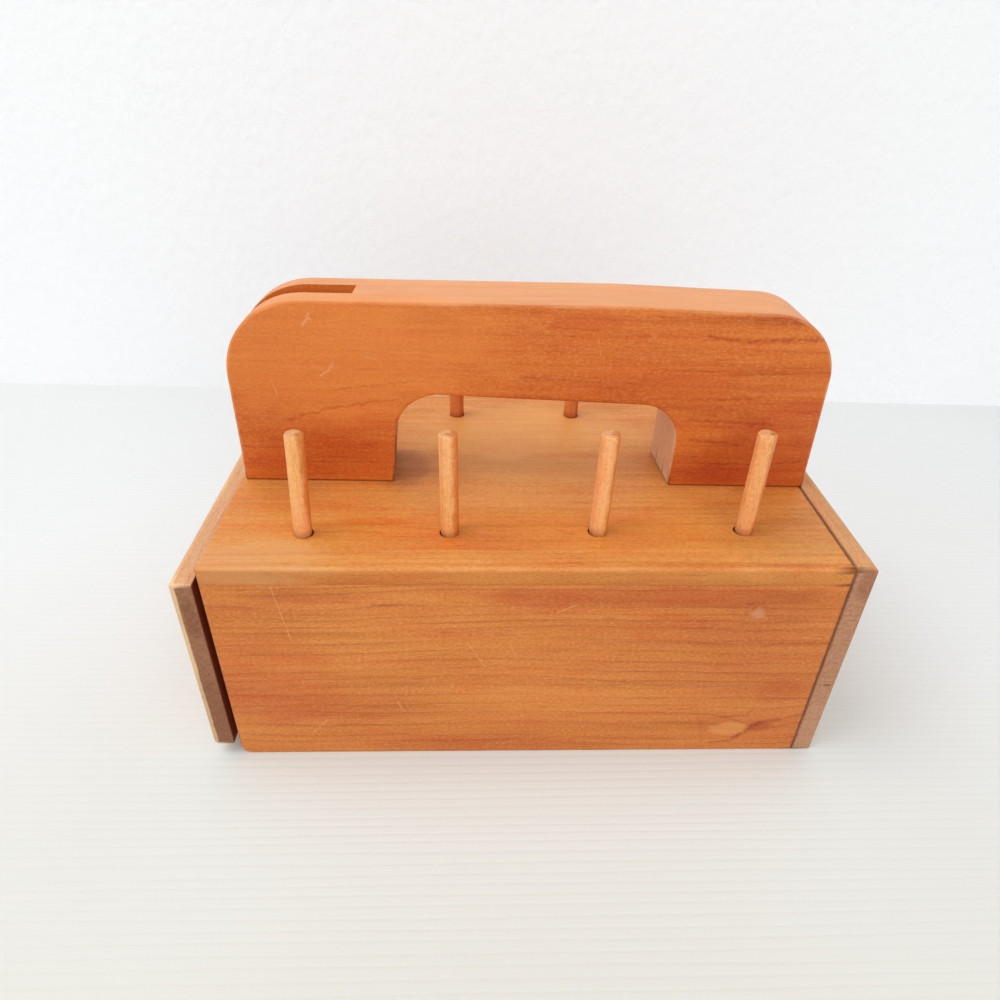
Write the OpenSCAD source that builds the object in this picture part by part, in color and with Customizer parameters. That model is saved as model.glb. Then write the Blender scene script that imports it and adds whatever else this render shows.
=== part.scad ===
// Thread spool storage box: a wooden box with an end drawer, a carrying handle and pegs for spools.
// Millimetres. X runs along the box, Y from the front to the rear, Z up. The base centre is the origin.

/* [Box] */
// Length of the box between its right end panel and its open left end
box_length = 254; // [220:1:290]
// Depth of the box from front to rear
box_depth = 155.6; // [140:0.2:175]
// Height of the box from the table to the top face
box_height = 107.2; // [95:0.2:120]
// Thickness of the top, front and rear panels
panel_t = 7.6; // [6:0.1:10]
// Thickness of the right end panel and of the drawer front
end_t = 9.6; // [8:0.1:12]
// Thickness of the bottom panel
bottom_t = 6.4; // [5:0.1:9]
// Radius of the worn lower left corner of the front panel
worn_corner_r = 3.5; // [1:0.1:6]
// Radius along the outer upright arrises of the end boards
end_arris_r = 2.2; // [1:0.1:4]

/* [Handle] */
// Thickness of the front and rear plates of the handle
plate_t = 10.2; // [8:0.1:12]
// Thickness of the core, which is also the width of the scissors pocket
core_t = 11; // [8:0.1:14]
// Height of the handle above the top panel, left and middle
handle_h = 82.4; // [70:0.1:95]
// Drop of the handle's top edge from its middle to its right corner
handle_drop = 2.9; // [0:0.1:5]
// Length from the left end of the box to where the handle's top edge starts to drop
handle_bend_at = 165; // [130:1:190]
// Inset of the handle's left side at the top panel
handle_left_inset = 2.6; // [1:0.1:6]
// Inset of the handle's left side at its upper corner
handle_left_top_inset = 3.6; // [1:0.1:8]
// Overhang of the handle's right side onto the right end panel
handle_right_over = 1.2; // [0:0.1:3]
// Inset of the handle's right side at its upper corner
handle_right_top_inset = 0.6; // [0:0.1:4]
// Radius of the handle's upper left corner
handle_left_r = 33; // [24:0.5:38]
// Radius of the handle's upper right corner
handle_right_r = 29; // [22:0.5:36]
// Turn of the handle on the top panel, in degrees, as it was set on by hand
handle_skew = -0.98; // [-2:0.02:2]
// Length from the left end of the box to the core, which closes the scissors pocket
pocket_end_at = 55.8; // [48:0.1:60]

/* [Hand hole] */
// Length from the left end of the box to the hand hole at the top panel
hole_left_at = 69.2; // [64:0.1:76]
// Length from the left end of the box to the hand hole's upper left corner
hole_left_top_at = 73.6; // [66:0.1:80]
// Length from the left end of the box to the hand hole's right side
hole_right_at = 193.4; // [184:0.1:198]
// Height of the hand hole at its left side
hole_left_h = 43.4; // [36:0.1:48]
// Height of the hand hole at its right side
hole_right_h = 39.2; // [34:0.1:46]
// Radius of the hand hole's upper left corner
hole_left_r = 18.5; // [12:0.5:22]
// Radius of the hand hole's upper right corner
hole_right_r = 16.5; // [12:0.5:20]

/* [Handle screws] */
// Diameter of the screw shanks
screw_d = 4; // [3:0.1:5]
// Diameter of the countersunk heads
screw_head_d = 8; // [6.5:0.1:9]
// Height of the countersunk heads
screw_head_h = 2.6; // [2:0.1:3.4]
// Length of the screws
screw_len = 32; // [26:0.5:40]
// Length from the outer side of each leg to its screws
screw_inset = 30; // [20:0.5:40]

/* [Pegs] */
// Diameter of the pegs
peg_d = 7.4; // [6:0.1:8.5]
// Height of the pegs above the top face
peg_h = 45.9; // [38:0.1:55]
// Chamfer around the peg tops
peg_chamfer = 0.9; // [0.3:0.1:1.5]
// Diameter of the tenons that the pegs stand on
peg_tenon_d = 7; // [5.6:0.1:8]
// Height above the top face at which the pegs reach their full thickness
peg_shoulder = 0.8; // [0.6:0.1:2]
// Length by which the tenons stay short of the lower side of the top panel
peg_foot_gap = 0.6; // [0.4:0.1:1.5]
// Length from the left end of the box to the first pegs
peg_first_at = 36.2; // [30:0.1:42]
// Spacing of the pegs along the box
peg_pitch = 60.3; // [52:0.1:64]
// Inset of the front row at its first peg
peg_front_inset = 22.9; // [20:0.1:28]
// Inward drift of the front row from one peg to the next
peg_front_drift = 0.9; // [0:0.1:1.5]
// Inset of the rear row from the rear face
peg_rear_inset = 24.2; // [20:0.1:28]
// Width of the worn flare around the mouths of the peg holes
peg_flare = 0.9; // [0.3:0.1:1.4]
// Depth of that flare
peg_flare_depth = 1.5; // [0.5:0.1:3]

/* [Drawer] */
// Gap by which the drawer stands open
drawer_ajar = 2.7; // [1:0.1:6]
// Height of the drawer front's lower edge above the table
drawer_front_low = 5.6; // [3:0.1:8]
// Height of the drawer front's upper edge above the table
drawer_front_top = 99.2; // [88:0.1:110]
// Thickness of the drawer sides and back
drawer_side_t = 6.4; // [5:0.1:8]
// Height of the drawer sides
drawer_side_h = 80; // [60:0.5:86]
// Free length behind the drawer
drawer_tail_gap = 6; // [4:0.5:12]
// Thickness of the drawer bottom
drawer_bottom_t = 3.2; // [2.5:0.1:4.5]
// Height of the drawer bottom above the lower edge of the sides
drawer_bottom_up = 5; // [4:0.1:8]
// Depth of the grooves that hold the drawer bottom
drawer_groove = 3; // [2:0.1:4]

/* [Knob] */
// Diameter of the knob's head
knob_d = 25; // [20:0.5:30]
// Diameter of the knob's neck
knob_neck_d = 12; // [9:0.5:15]
// Diameter of the knob's foot
knob_foot_d = 15; // [13:0.5:18]
// Length by which the knob stands out
knob_len = 22; // [17:0.5:25]
// Diameter of the knob screw's shank
knob_screw_d = 3.6; // [3:0.1:4.5]
// Diameter of the knob screw's head
knob_screw_head_d = 7; // [6:0.1:8]
// Height of the knob screw's head
knob_screw_head_h = 2; // [1.5:0.1:2.6]
// Depth of the knob screw in the knob
knob_screw_in = 13; // [10:0.5:15]

/* [Clearances] */
// Clearance all around a glued peg in its hole
peg_clear = 0.05; // [0.02:0.01:0.15]
// Clearance all around a screw in its hole
screw_clear = 0.05; // [0.02:0.01:0.2]
// Clearance on each side of the drawer
drawer_side_clear = 0.8; // [0.5:0.1:1.5]
// Rest gap under the drawer
drawer_rest = 0.3; // [0.2:0.05:0.5]
// Clearance around the drawer bottom in its grooves
groove_clear = 0.05; // [0.02:0.01:0.15]

/* [Hidden] */
$fn = 64;
eps = 0.01;
x_left = -box_length / 2;
x_right = box_length / 2;
y_front = -box_depth / 2;
y_rear = box_depth / 2;
wall_h = box_height - panel_t;
handle_t = 2 * plate_t + core_t;
handle_left = x_left + handle_left_inset;
handle_right = x_right + handle_right_over;
screw_y = (core_t + plate_t) / 2;
// Shift of each peg from its even spacing, as drilled by hand
PEG_SHIFT = [0, -1, -0.6, 0];
// Lean of each front peg to the right, in degrees
PEG_LEAN = [3, 0, 1, 0];
drawer_w = box_depth - 2 * panel_t - 2 * drawer_side_clear;
drawer_front_x = x_left - drawer_ajar;
drawer_tail_x = x_right - drawer_tail_gap;
drawer_z = bottom_t + drawer_rest;
drawer_floor_z = drawer_z + drawer_bottom_up;
knob_z = (drawer_front_low + drawer_front_top) / 2;

// Vectors for corners with a true arc
function unit(v) = v / norm(v);
function to_prev(p, i) = unit(p[(i + len(p) - 1) % len(p)] - p[i]);
function to_next(p, i) = unit(p[(i + 1) % len(p)] - p[i]);
function half_angle(p, i) = acos(to_prev(p, i) * to_next(p, i)) / 2;
function arc_centre(p, r, i) =
    p[i] + unit(to_prev(p, i) + to_next(p, i)) * r / sin(half_angle(p, i));
function corner_points(p, r, i) =
    r == 0
    ? [p[i]]
    : [
        p[i] + to_prev(p, i) * r / tan(half_angle(p, i)),
        p[i] + to_next(p, i) * r / tan(half_angle(p, i))
    ];

// A convex outline whose corners are rounded to the radii given
module arc_outline(p, radii) {
    polygon([for (i = [0:len(p) - 1]) each corner_points(p, radii[i], i)]);
    for (i = [0:len(p) - 1]) {
        if (radii[i] > 0) {
            translate(arc_centre(p, radii[i], i))
            circle(radii[i], $fn = 96);
        }
    }
}

// A flat outline stood upright along X, from y0 to y0 + t
module upright(y0, t) {
    translate([0, y0 + t, 0])
    rotate([90, 0, 0])
    linear_extrude(t)
    children();
}

// A plain board between two corners
module board(low, high) {
    translate(low)
    cube(high - low);
}

// The place of one peg on the top face
function peg_x(i) = x_left + peg_first_at + i * peg_pitch + PEG_SHIFT[i];
function front_peg_y(i) = y_front + peg_front_inset + i * peg_front_drift;
function rear_peg_y() = y_rear - peg_rear_inset;

// One peg hole with its worn mouth
module peg_hole(x, y, lean) {
    translate([x, y, box_height])
    rotate([0, lean, 0]) {
        translate([0, 0, -2 * panel_t])
        cylinder(d = peg_tenon_d + 2 * peg_clear, h = 3 * panel_t);
        translate([0, 0, -peg_flare_depth])
        cylinder(
            r1 = peg_tenon_d / 2 + peg_clear,
            r2 = peg_tenon_d / 2 + peg_clear + 2 * peg_flare,
            h = 2 * peg_flare_depth
        );
    }
}

// One turned peg with a chamfered top, its tenon standing in its hole
module peg(x, y, lean) {
    foot = panel_t - peg_foot_gap;
    color("burlywood")
    translate([x, y, box_height])
    rotate([0, lean, 0])
    rotate_extrude()
    polygon([
        [0, -foot],
        [peg_tenon_d / 2, -foot],
        [peg_tenon_d / 2, peg_shoulder],
        [peg_d / 2, peg_shoulder],
        [peg_d / 2, peg_h - peg_chamfer],
        [peg_d / 2 - peg_chamfer, peg_h],
        [0, peg_h]
    ]);
}

// Puts its children in the turned frame of the handle
module in_handle() {
    translate([0, 0, box_height])
    rotate([0, 0, handle_skew])
    children();
}

// The four places of the handle's screws
module at_handle_screws() {
    for (x = [handle_left + screw_inset, handle_right - screw_inset]) {
        for (side = [-1, 1]) {
            in_handle()
            translate([x, side * screw_y, -panel_t])
            children();
        }
    }
}

// One countersunk screw pointing up, its head's face at the lower side of the top panel
module wood_screw(grow) {
    cylinder(
        r1 = screw_head_d / 2 + grow,
        r2 = screw_d / 2 + grow,
        h = screw_head_h
    );
    cylinder(d = screw_d + 2 * grow, h = screw_len + grow);
}

// The outline of the handle before the hand hole is cut
module handle_outline() {
    arc_outline(
        [
            [handle_left, 0],
            [handle_right, 0],
            [x_right - handle_right_top_inset, handle_h - handle_drop],
            [x_left + handle_bend_at, handle_h],
            [x_left + handle_left_top_inset, handle_h]
        ],
        [0, 0, handle_right_r, 0, handle_left_r]
    );
}

// The outline of the hand hole, which runs out through the bottom
module hand_hole_outline() {
    arc_outline(
        [
            [x_left + hole_left_at, -1],
            [x_left + hole_right_at, -1],
            [x_left + hole_right_at, hole_right_h],
            [x_left + hole_left_top_at, hole_left_h]
        ],
        [0, 0, hole_right_r, hole_left_r]
    );
}

// One full layer of the handle
module handle_layer(y0, t) {
    upright(y0, t)
    difference() {
        handle_outline();
        hand_hole_outline();
    }
}

// One plate of the handle with the holes of its screws
module handle_plate(y0) {
    difference() {
        in_handle()
        handle_layer(y0, plate_t);
        at_handle_screws()
        wood_screw(screw_clear);
    }
}

// The groove that holds the edges of the drawer bottom
module drawer_groove_cut() {
    board(
        [
            drawer_front_x - drawer_groove - groove_clear,
            -drawer_w / 2 + drawer_side_t - drawer_groove - groove_clear,
            drawer_floor_z - groove_clear
        ],
        [
            drawer_tail_x - drawer_side_t + drawer_groove + groove_clear,
            drawer_w / 2 - drawer_side_t + drawer_groove + groove_clear,
            drawer_floor_z + drawer_bottom_t + groove_clear
        ]
    );
}

// One side of the drawer
module drawer_side(y0) {
    difference() {
        board(
            [drawer_front_x, y0, drawer_z],
            [drawer_tail_x, y0 + drawer_side_t, drawer_z + drawer_side_h]
        );
        drawer_groove_cut();
    }
}

// An end board with rounded upright arrises on its outer side, which faces the way that side points
module end_board(x_inner, side, z0, z1) {
    x_outer = x_inner + side * end_t;
    translate([0, 0, z0])
    linear_extrude(z1 - z0)
    arc_outline(
        side > 0
        ? [[x_inner, y_front], [x_outer, y_front], [x_outer, y_rear], [x_inner, y_rear]]
        : [[x_inner, y_rear], [x_outer, y_rear], [x_outer, y_front], [x_inner, y_front]],
        [0, end_arris_r, end_arris_r, 0]
    );
}

// The knob's screw, its head inside the drawer
module knob_screw_shape(grow) {
    translate([drawer_front_x + knob_screw_head_h + grow, 0, knob_z])
    rotate([0, -90, 0]) {
        cylinder(d = knob_screw_head_d + 2 * grow, h = knob_screw_head_h + grow);
        cylinder(d = knob_screw_d + 2 * grow, h = knob_screw_head_h + end_t + knob_screw_in + 2 * grow);
    }
}

module top_panel() {
    color("peru")
    difference() {
        board([x_left, y_front, wall_h], [x_right, y_rear, box_height]);
        for (i = [0:3]) {
            peg_hole(peg_x(i), front_peg_y(i), PEG_LEAN[i]);
            peg_hole(peg_x(i), rear_peg_y(), 0);
        }
        at_handle_screws()
        translate([0, 0, -eps])
        wood_screw(screw_clear + eps);
    }
}

module front_panel() {
    color("sandybrown")
    upright(y_front, panel_t)
    arc_outline(
        [[x_left, 0], [x_right, 0], [x_right, wall_h], [x_left, wall_h]],
        [worn_corner_r, 0, 0, 0]
    );
}

module rear_panel() {
    color("sandybrown")
    board([x_left, y_rear - panel_t, 0], [x_right, y_rear, wall_h]);
}

module bottom_panel() {
    color("burlywood")
    board([x_left, y_front + panel_t, 0], [x_right, y_rear - panel_t, bottom_t]);
}

module right_end_panel() {
    color("peru")
    end_board(x_right, 1, 0, box_height);
}

module handle_front_plate() {
    color("chocolate")
    handle_plate(-handle_t / 2);
}

module handle_rear_plate() {
    color("chocolate")
    handle_plate(core_t / 2);
}

module handle_core() {
    color("sienna")
    in_handle()
    intersection() {
        handle_layer(-core_t / 2, core_t);
        board([x_left + pocket_end_at, -core_t, -1], [x_right + end_t, core_t, handle_h + 1]);
    }
}

module handle_screws() {
    color("darkgray")
    at_handle_screws()
    wood_screw(0);
}

module front_peg(i) {
    peg(peg_x(i), front_peg_y(i), PEG_LEAN[i]);
}

module rear_peg(i) {
    peg(peg_x(i), rear_peg_y(), 0);
}

module drawer_front() {
    color("peru")
    difference() {
        end_board(drawer_front_x, -1, drawer_front_low, drawer_front_top);
        drawer_groove_cut();
        knob_screw_shape(screw_clear);
    }
}

module drawer_side_front() {
    color("burlywood")
    drawer_side(-drawer_w / 2);
}

module drawer_side_rear() {
    color("burlywood")
    drawer_side(drawer_w / 2 - drawer_side_t);
}

module drawer_back() {
    color("burlywood")
    difference() {
        board(
            [drawer_tail_x - drawer_side_t, -drawer_w / 2 + drawer_side_t, drawer_z],
            [drawer_tail_x, drawer_w / 2 - drawer_side_t, drawer_z + drawer_side_h]
        );
        drawer_groove_cut();
    }
}

module drawer_bottom() {
    color("wheat")
    board(
        [
            drawer_front_x - drawer_groove,
            -drawer_w / 2 + drawer_side_t - drawer_groove,
            drawer_floor_z
        ],
        [
            drawer_tail_x - drawer_side_t + drawer_groove,
            drawer_w / 2 - drawer_side_t + drawer_groove,
            drawer_floor_z + drawer_bottom_t
        ]
    );
}

module drawer_knob() {
    color("peru")
    difference() {
        translate([drawer_front_x - end_t, 0, knob_z])
        rotate([0, -90, 0])
        rotate_extrude()
        polygon([
            [0, 0],
            [knob_foot_d / 2, 0],
            [knob_foot_d / 2, knob_len * 0.08],
            [knob_neck_d / 2, knob_len * 0.26],
            [knob_neck_d / 2, knob_len * 0.4],
            [knob_d * 0.42, knob_len * 0.55],
            [knob_d / 2, knob_len * 0.68],
            [knob_d / 2, knob_len * 0.76],
            [knob_d * 0.42, knob_len * 0.91],
            [knob_d * 0.26, knob_len * 0.98],
            [0, knob_len]
        ]);
        knob_screw_shape(screw_clear);
    }
}

module drawer_knob_screw() {
    color("darkgray")
    knob_screw_shape(0);
}

top_panel();
front_panel();
rear_panel();
bottom_panel();
right_end_panel();
handle_front_plate();
handle_core();
handle_rear_plate();
handle_screws();
front_peg(0);  // peg_front_1
front_peg(1);  // peg_front_2
front_peg(2);  // peg_front_3
front_peg(3);  // peg_front_4
rear_peg(0);  // peg_rear_1
rear_peg(1);  // peg_rear_2
rear_peg(2);  // peg_rear_3
rear_peg(3);  // peg_rear_4
drawer_front();
drawer_side_front();
drawer_side_rear();
drawer_back();
drawer_bottom();
drawer_knob();
drawer_knob_screw();
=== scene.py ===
"""Looks of the thread spool storage box: boards, handle, pegs, drawer, table and light.

All lengths are in metres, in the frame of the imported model: X along the box, Y to the rear, Z up.
"""

import logging
import math
from dataclasses import dataclass, field, replace
from enum import Enum
from typing import Any, Callable, Iterable, Sequence

import bmesh
import bpy
from mathutils import Euler, Matrix, Vector, noise


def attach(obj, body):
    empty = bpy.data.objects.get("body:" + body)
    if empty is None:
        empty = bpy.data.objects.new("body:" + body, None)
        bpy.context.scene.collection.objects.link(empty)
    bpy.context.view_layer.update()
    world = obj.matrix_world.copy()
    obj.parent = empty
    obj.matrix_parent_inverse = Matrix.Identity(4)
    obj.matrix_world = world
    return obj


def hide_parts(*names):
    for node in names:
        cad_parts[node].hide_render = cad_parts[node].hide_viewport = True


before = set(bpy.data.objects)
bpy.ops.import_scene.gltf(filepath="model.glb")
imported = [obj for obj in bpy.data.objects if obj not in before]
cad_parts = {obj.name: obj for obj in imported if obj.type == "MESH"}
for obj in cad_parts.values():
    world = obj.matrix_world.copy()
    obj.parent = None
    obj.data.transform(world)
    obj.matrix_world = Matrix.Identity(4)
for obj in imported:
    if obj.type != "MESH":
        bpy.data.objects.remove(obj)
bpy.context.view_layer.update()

logging.basicConfig(level=logging.INFO, format="%(message)s")
LOG = logging.getLogger("spool_box")
MM = 0.001
SNAP = 1e-6
SQUARE_EDGE = math.radians(40.0)
Colour = tuple[float, float, float]


# Shader maths -------------------------------------------------------------------------------


class Value:
    """One number in a shader that Python's operators can work on."""

    def __init__(self, tree: bpy.types.NodeTree, socket: bpy.types.NodeSocket) -> None:
        """Wraps the socket of a node in tree."""
        self.tree = tree
        self.socket = socket

    def math(self, operation: str, *others: "Value | float", swap: bool = False) -> "Value":
        """Adds a Math node.

        Args:
            operation: The node's operation.
            others: The node's other inputs.
            swap: Puts this value after the first of the others.

        Returns:
            The node's result.
        """
        node = self.tree.nodes.new("ShaderNodeMath")
        node.operation = operation
        items = [self, *others]
        if swap:
            items[0], items[1] = items[1], items[0]
        for slot, item in zip(node.inputs, items):
            if isinstance(item, Value):
                self.tree.links.new(item.socket, slot)
            else:
                slot.default_value = float(item)
        return Value(self.tree, node.outputs[0])

    def __add__(self, other: "Value | float") -> "Value":
        """Sum."""
        return self.math("ADD", other)

    def __radd__(self, other: float) -> "Value":
        """Reflected sum."""
        return self.math("ADD", other, swap=True)

    def __sub__(self, other: "Value | float") -> "Value":
        """Difference."""
        return self.math("SUBTRACT", other)

    def __rsub__(self, other: float) -> "Value":
        """Reflected difference."""
        return self.math("SUBTRACT", other, swap=True)

    def __mul__(self, other: "Value | float") -> "Value":
        """Product."""
        return self.math("MULTIPLY", other)

    def __rmul__(self, other: float) -> "Value":
        """Reflected product."""
        return self.math("MULTIPLY", other, swap=True)

    def __truediv__(self, other: "Value | float") -> "Value":
        """Quotient."""
        return self.math("DIVIDE", other)

    def __rtruediv__(self, other: float) -> "Value":
        """Reflected quotient."""
        return self.math("DIVIDE", other, swap=True)

    def __pow__(self, other: "Value | float") -> "Value":
        """Power."""
        return self.math("POWER", other)

    def __abs__(self) -> "Value":
        """Absolute value."""
        return self.math("ABSOLUTE")

    def least(self, other: "Value | float") -> "Value":
        """The smaller of two values."""
        return self.math("MINIMUM", other)

    def most(self, other: "Value | float") -> "Value":
        """The larger of two values."""
        return self.math("MAXIMUM", other)

    def fract(self) -> "Value":
        """The part after the decimal point."""
        return self.math("FRACT")

    def root(self) -> "Value":
        """The square root."""
        return self.math("SQRT")

    def held(self) -> "Value":
        """The value held between 0 and 1."""
        return self.most(0.0).least(1.0)

    def rise(self, low: float, high: float) -> "Value":
        """A smooth step.

        Args:
            low: Where the result is 0.
            high: Where the result is 1; it may be the smaller number.

        Returns:
            0 to 1.
        """
        part = ((self - low) / (high - low)).held()
        return part * part * (3.0 - 2.0 * part)


Number = Value | float


class Shader:
    """The node tree of one material."""

    def __init__(self, name: str) -> None:
        """Makes an empty material."""
        self.material = bpy.data.materials.new(name)
        self.material.use_nodes = True
        self.tree = self.material.node_tree
        self.tree.nodes.clear()

    def node(self, kind: str, settings: dict[str, Any], inputs: dict[Any, Any]) -> bpy.types.Node:
        """Adds one node.

        Args:
            kind: The node's type.
            settings: Its attributes, set first.
            inputs: A value, Value, or socket for each named or numbered input.

        Returns:
            The node.
        """
        node = self.tree.nodes.new(kind)
        for key, item in settings.items():
            setattr(node, key, item)
        for key, item in inputs.items():
            slot = node.inputs[key]
            if isinstance(item, Value):
                self.tree.links.new(item.socket, slot)
            elif isinstance(item, bpy.types.NodeSocket):
                self.tree.links.new(item, slot)
            else:
                slot.default_value = item
        return node

    def value(self, node: bpy.types.Node, output: str | int = 0) -> Value:
        """The output of a node as a Value."""
        return Value(self.tree, node.outputs[output])

    def place(self) -> tuple[Value, Value, Value]:
        """The object coordinates x, y and z."""
        coords = self.node("ShaderNodeTexCoord", {}, {})
        parts = self.node("ShaderNodeSeparateXYZ", {}, {0: coords.outputs["Object"]})
        return self.value(parts, 0), self.value(parts, 1), self.value(parts, 2)

    def facing(self) -> tuple[Value, Value, Value]:
        """The surface normal in the object's own frame."""
        coords = self.node("ShaderNodeTexCoord", {}, {})
        parts = self.node("ShaderNodeSeparateXYZ", {}, {0: coords.outputs["Normal"]})
        return self.value(parts, 0), self.value(parts, 1), self.value(parts, 2)

    def vector(self, x: Number, y: Number, z: Number) -> bpy.types.NodeSocket:
        """A vector of three values."""
        return self.node("ShaderNodeCombineXYZ", {}, {0: x, 1: y, 2: z}).outputs[0]

    def noise(
        self, x: Number, y: Number, z: Number, detail: float = 2.0, rough: float = 0.5, bend: float = 0.0
    ) -> Value:
        """Noise from 0 to 1 at a place that is already scaled.

        Args:
            x: Scaled place.
            y: Scaled place.
            z: Scaled place.
            detail: Octaves.
            rough: Weight of the finer octaves.
            bend: Distortion.

        Returns:
            The noise.
        """
        inputs = {
            "Vector": self.vector(x, y, z),
            "Scale": 1.0,
            "Detail": detail,
            "Roughness": rough,
            "Distortion": bend,
        }
        return self.value(self.node("ShaderNodeTexNoise", {"noise_dimensions": "3D"}, inputs), "Fac")

    def attribute(self, name: str) -> Value:
        """A number stored on the mesh."""
        return self.value(self.node("ShaderNodeAttribute", {"attribute_name": name}, {}), "Fac")

    def mix(self, share: Number, first: Any, second: Any, blend: str = "MIX") -> bpy.types.NodeSocket:
        """Mixes two colours.

        Args:
            share: Share of the second colour.
            first: A colour or a colour socket.
            second: A colour or a colour socket.
            blend: How the node blends.

        Returns:
            The mixed colour.
        """
        colours = [(*c, 1.0) if isinstance(c, tuple) else c for c in (first, second)]
        node = self.node(
            "ShaderNodeMix",
            {"data_type": "RGBA", "blend_type": blend, "clamp_factor": True},
            {0: share, 6: colours[0], 7: colours[1]},
        )
        return node.outputs[2]

    def surface(
        self, colour: Any, rough: Number, bump: Value | None, depth: float, constants: dict[str, Any]
    ) -> bpy.types.Material:
        """Finishes the material.

        Args:
            colour: Base colour.
            rough: Roughness.
            bump: Height, or None for a smooth surface.
            depth: Real height of the bump in metres.
            constants: Numbers set on the shader's own sockets.

        Returns:
            The material.
        """
        inputs: dict[str, Any] = {"Base Color": colour, "Roughness": rough, **constants}
        if bump is not None:
            lift = self.node(
                "ShaderNodeBump", {}, {"Strength": 1.0, "Distance": depth, "Height": bump}
            )
            inputs["Normal"] = lift.outputs["Normal"]
        shader = self.node("ShaderNodeBsdfPrincipled", {}, inputs)
        self.node("ShaderNodeOutputMaterial", {}, {"Surface": shader.outputs[0]})
        return self.material


# Finishes -----------------------------------------------------------------------------------


class Grain(Enum):
    """The way the fibres of a piece run."""

    LENGTH = "x"
    DEPTH = "y"
    UPRIGHT = "z"


@dataclass(frozen=True)
class Stroke:
    """A thin scratch or vein on a face, from start to end in the two axes of that face."""

    start: tuple[float, float]
    end: tuple[float, float]
    width: float = 0.5 * MM
    strength: float = 0.5


def strokes(*rows: tuple[float, ...]) -> tuple[Stroke, ...]:
    """Reads strokes from a table.

    Args:
        rows: Start, end, width in millimetres and strength of each stroke.

    Returns:
        The strokes.
    """
    return tuple(Stroke(row[:2], row[2:4], row[4] * MM, row[5]) for row in rows)


@dataclass(frozen=True)
class Patch:
    """A ragged patch of colour, used for stains and for painted light and shade: its middle, its half sizes,
    its tint and how much of it shows.
    """

    middle: tuple[float, float, float]
    size: tuple[float, float, float]
    tint: Colour
    share: float = 0.6
    ragged: float = 0.8
    multiply: bool = True


@dataclass(frozen=True)
class Swirl:
    """A place where the growth rings bulge round an old branch."""

    middle: tuple[float, float, float]
    size: tuple[float, float, float]
    lift: float


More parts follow.
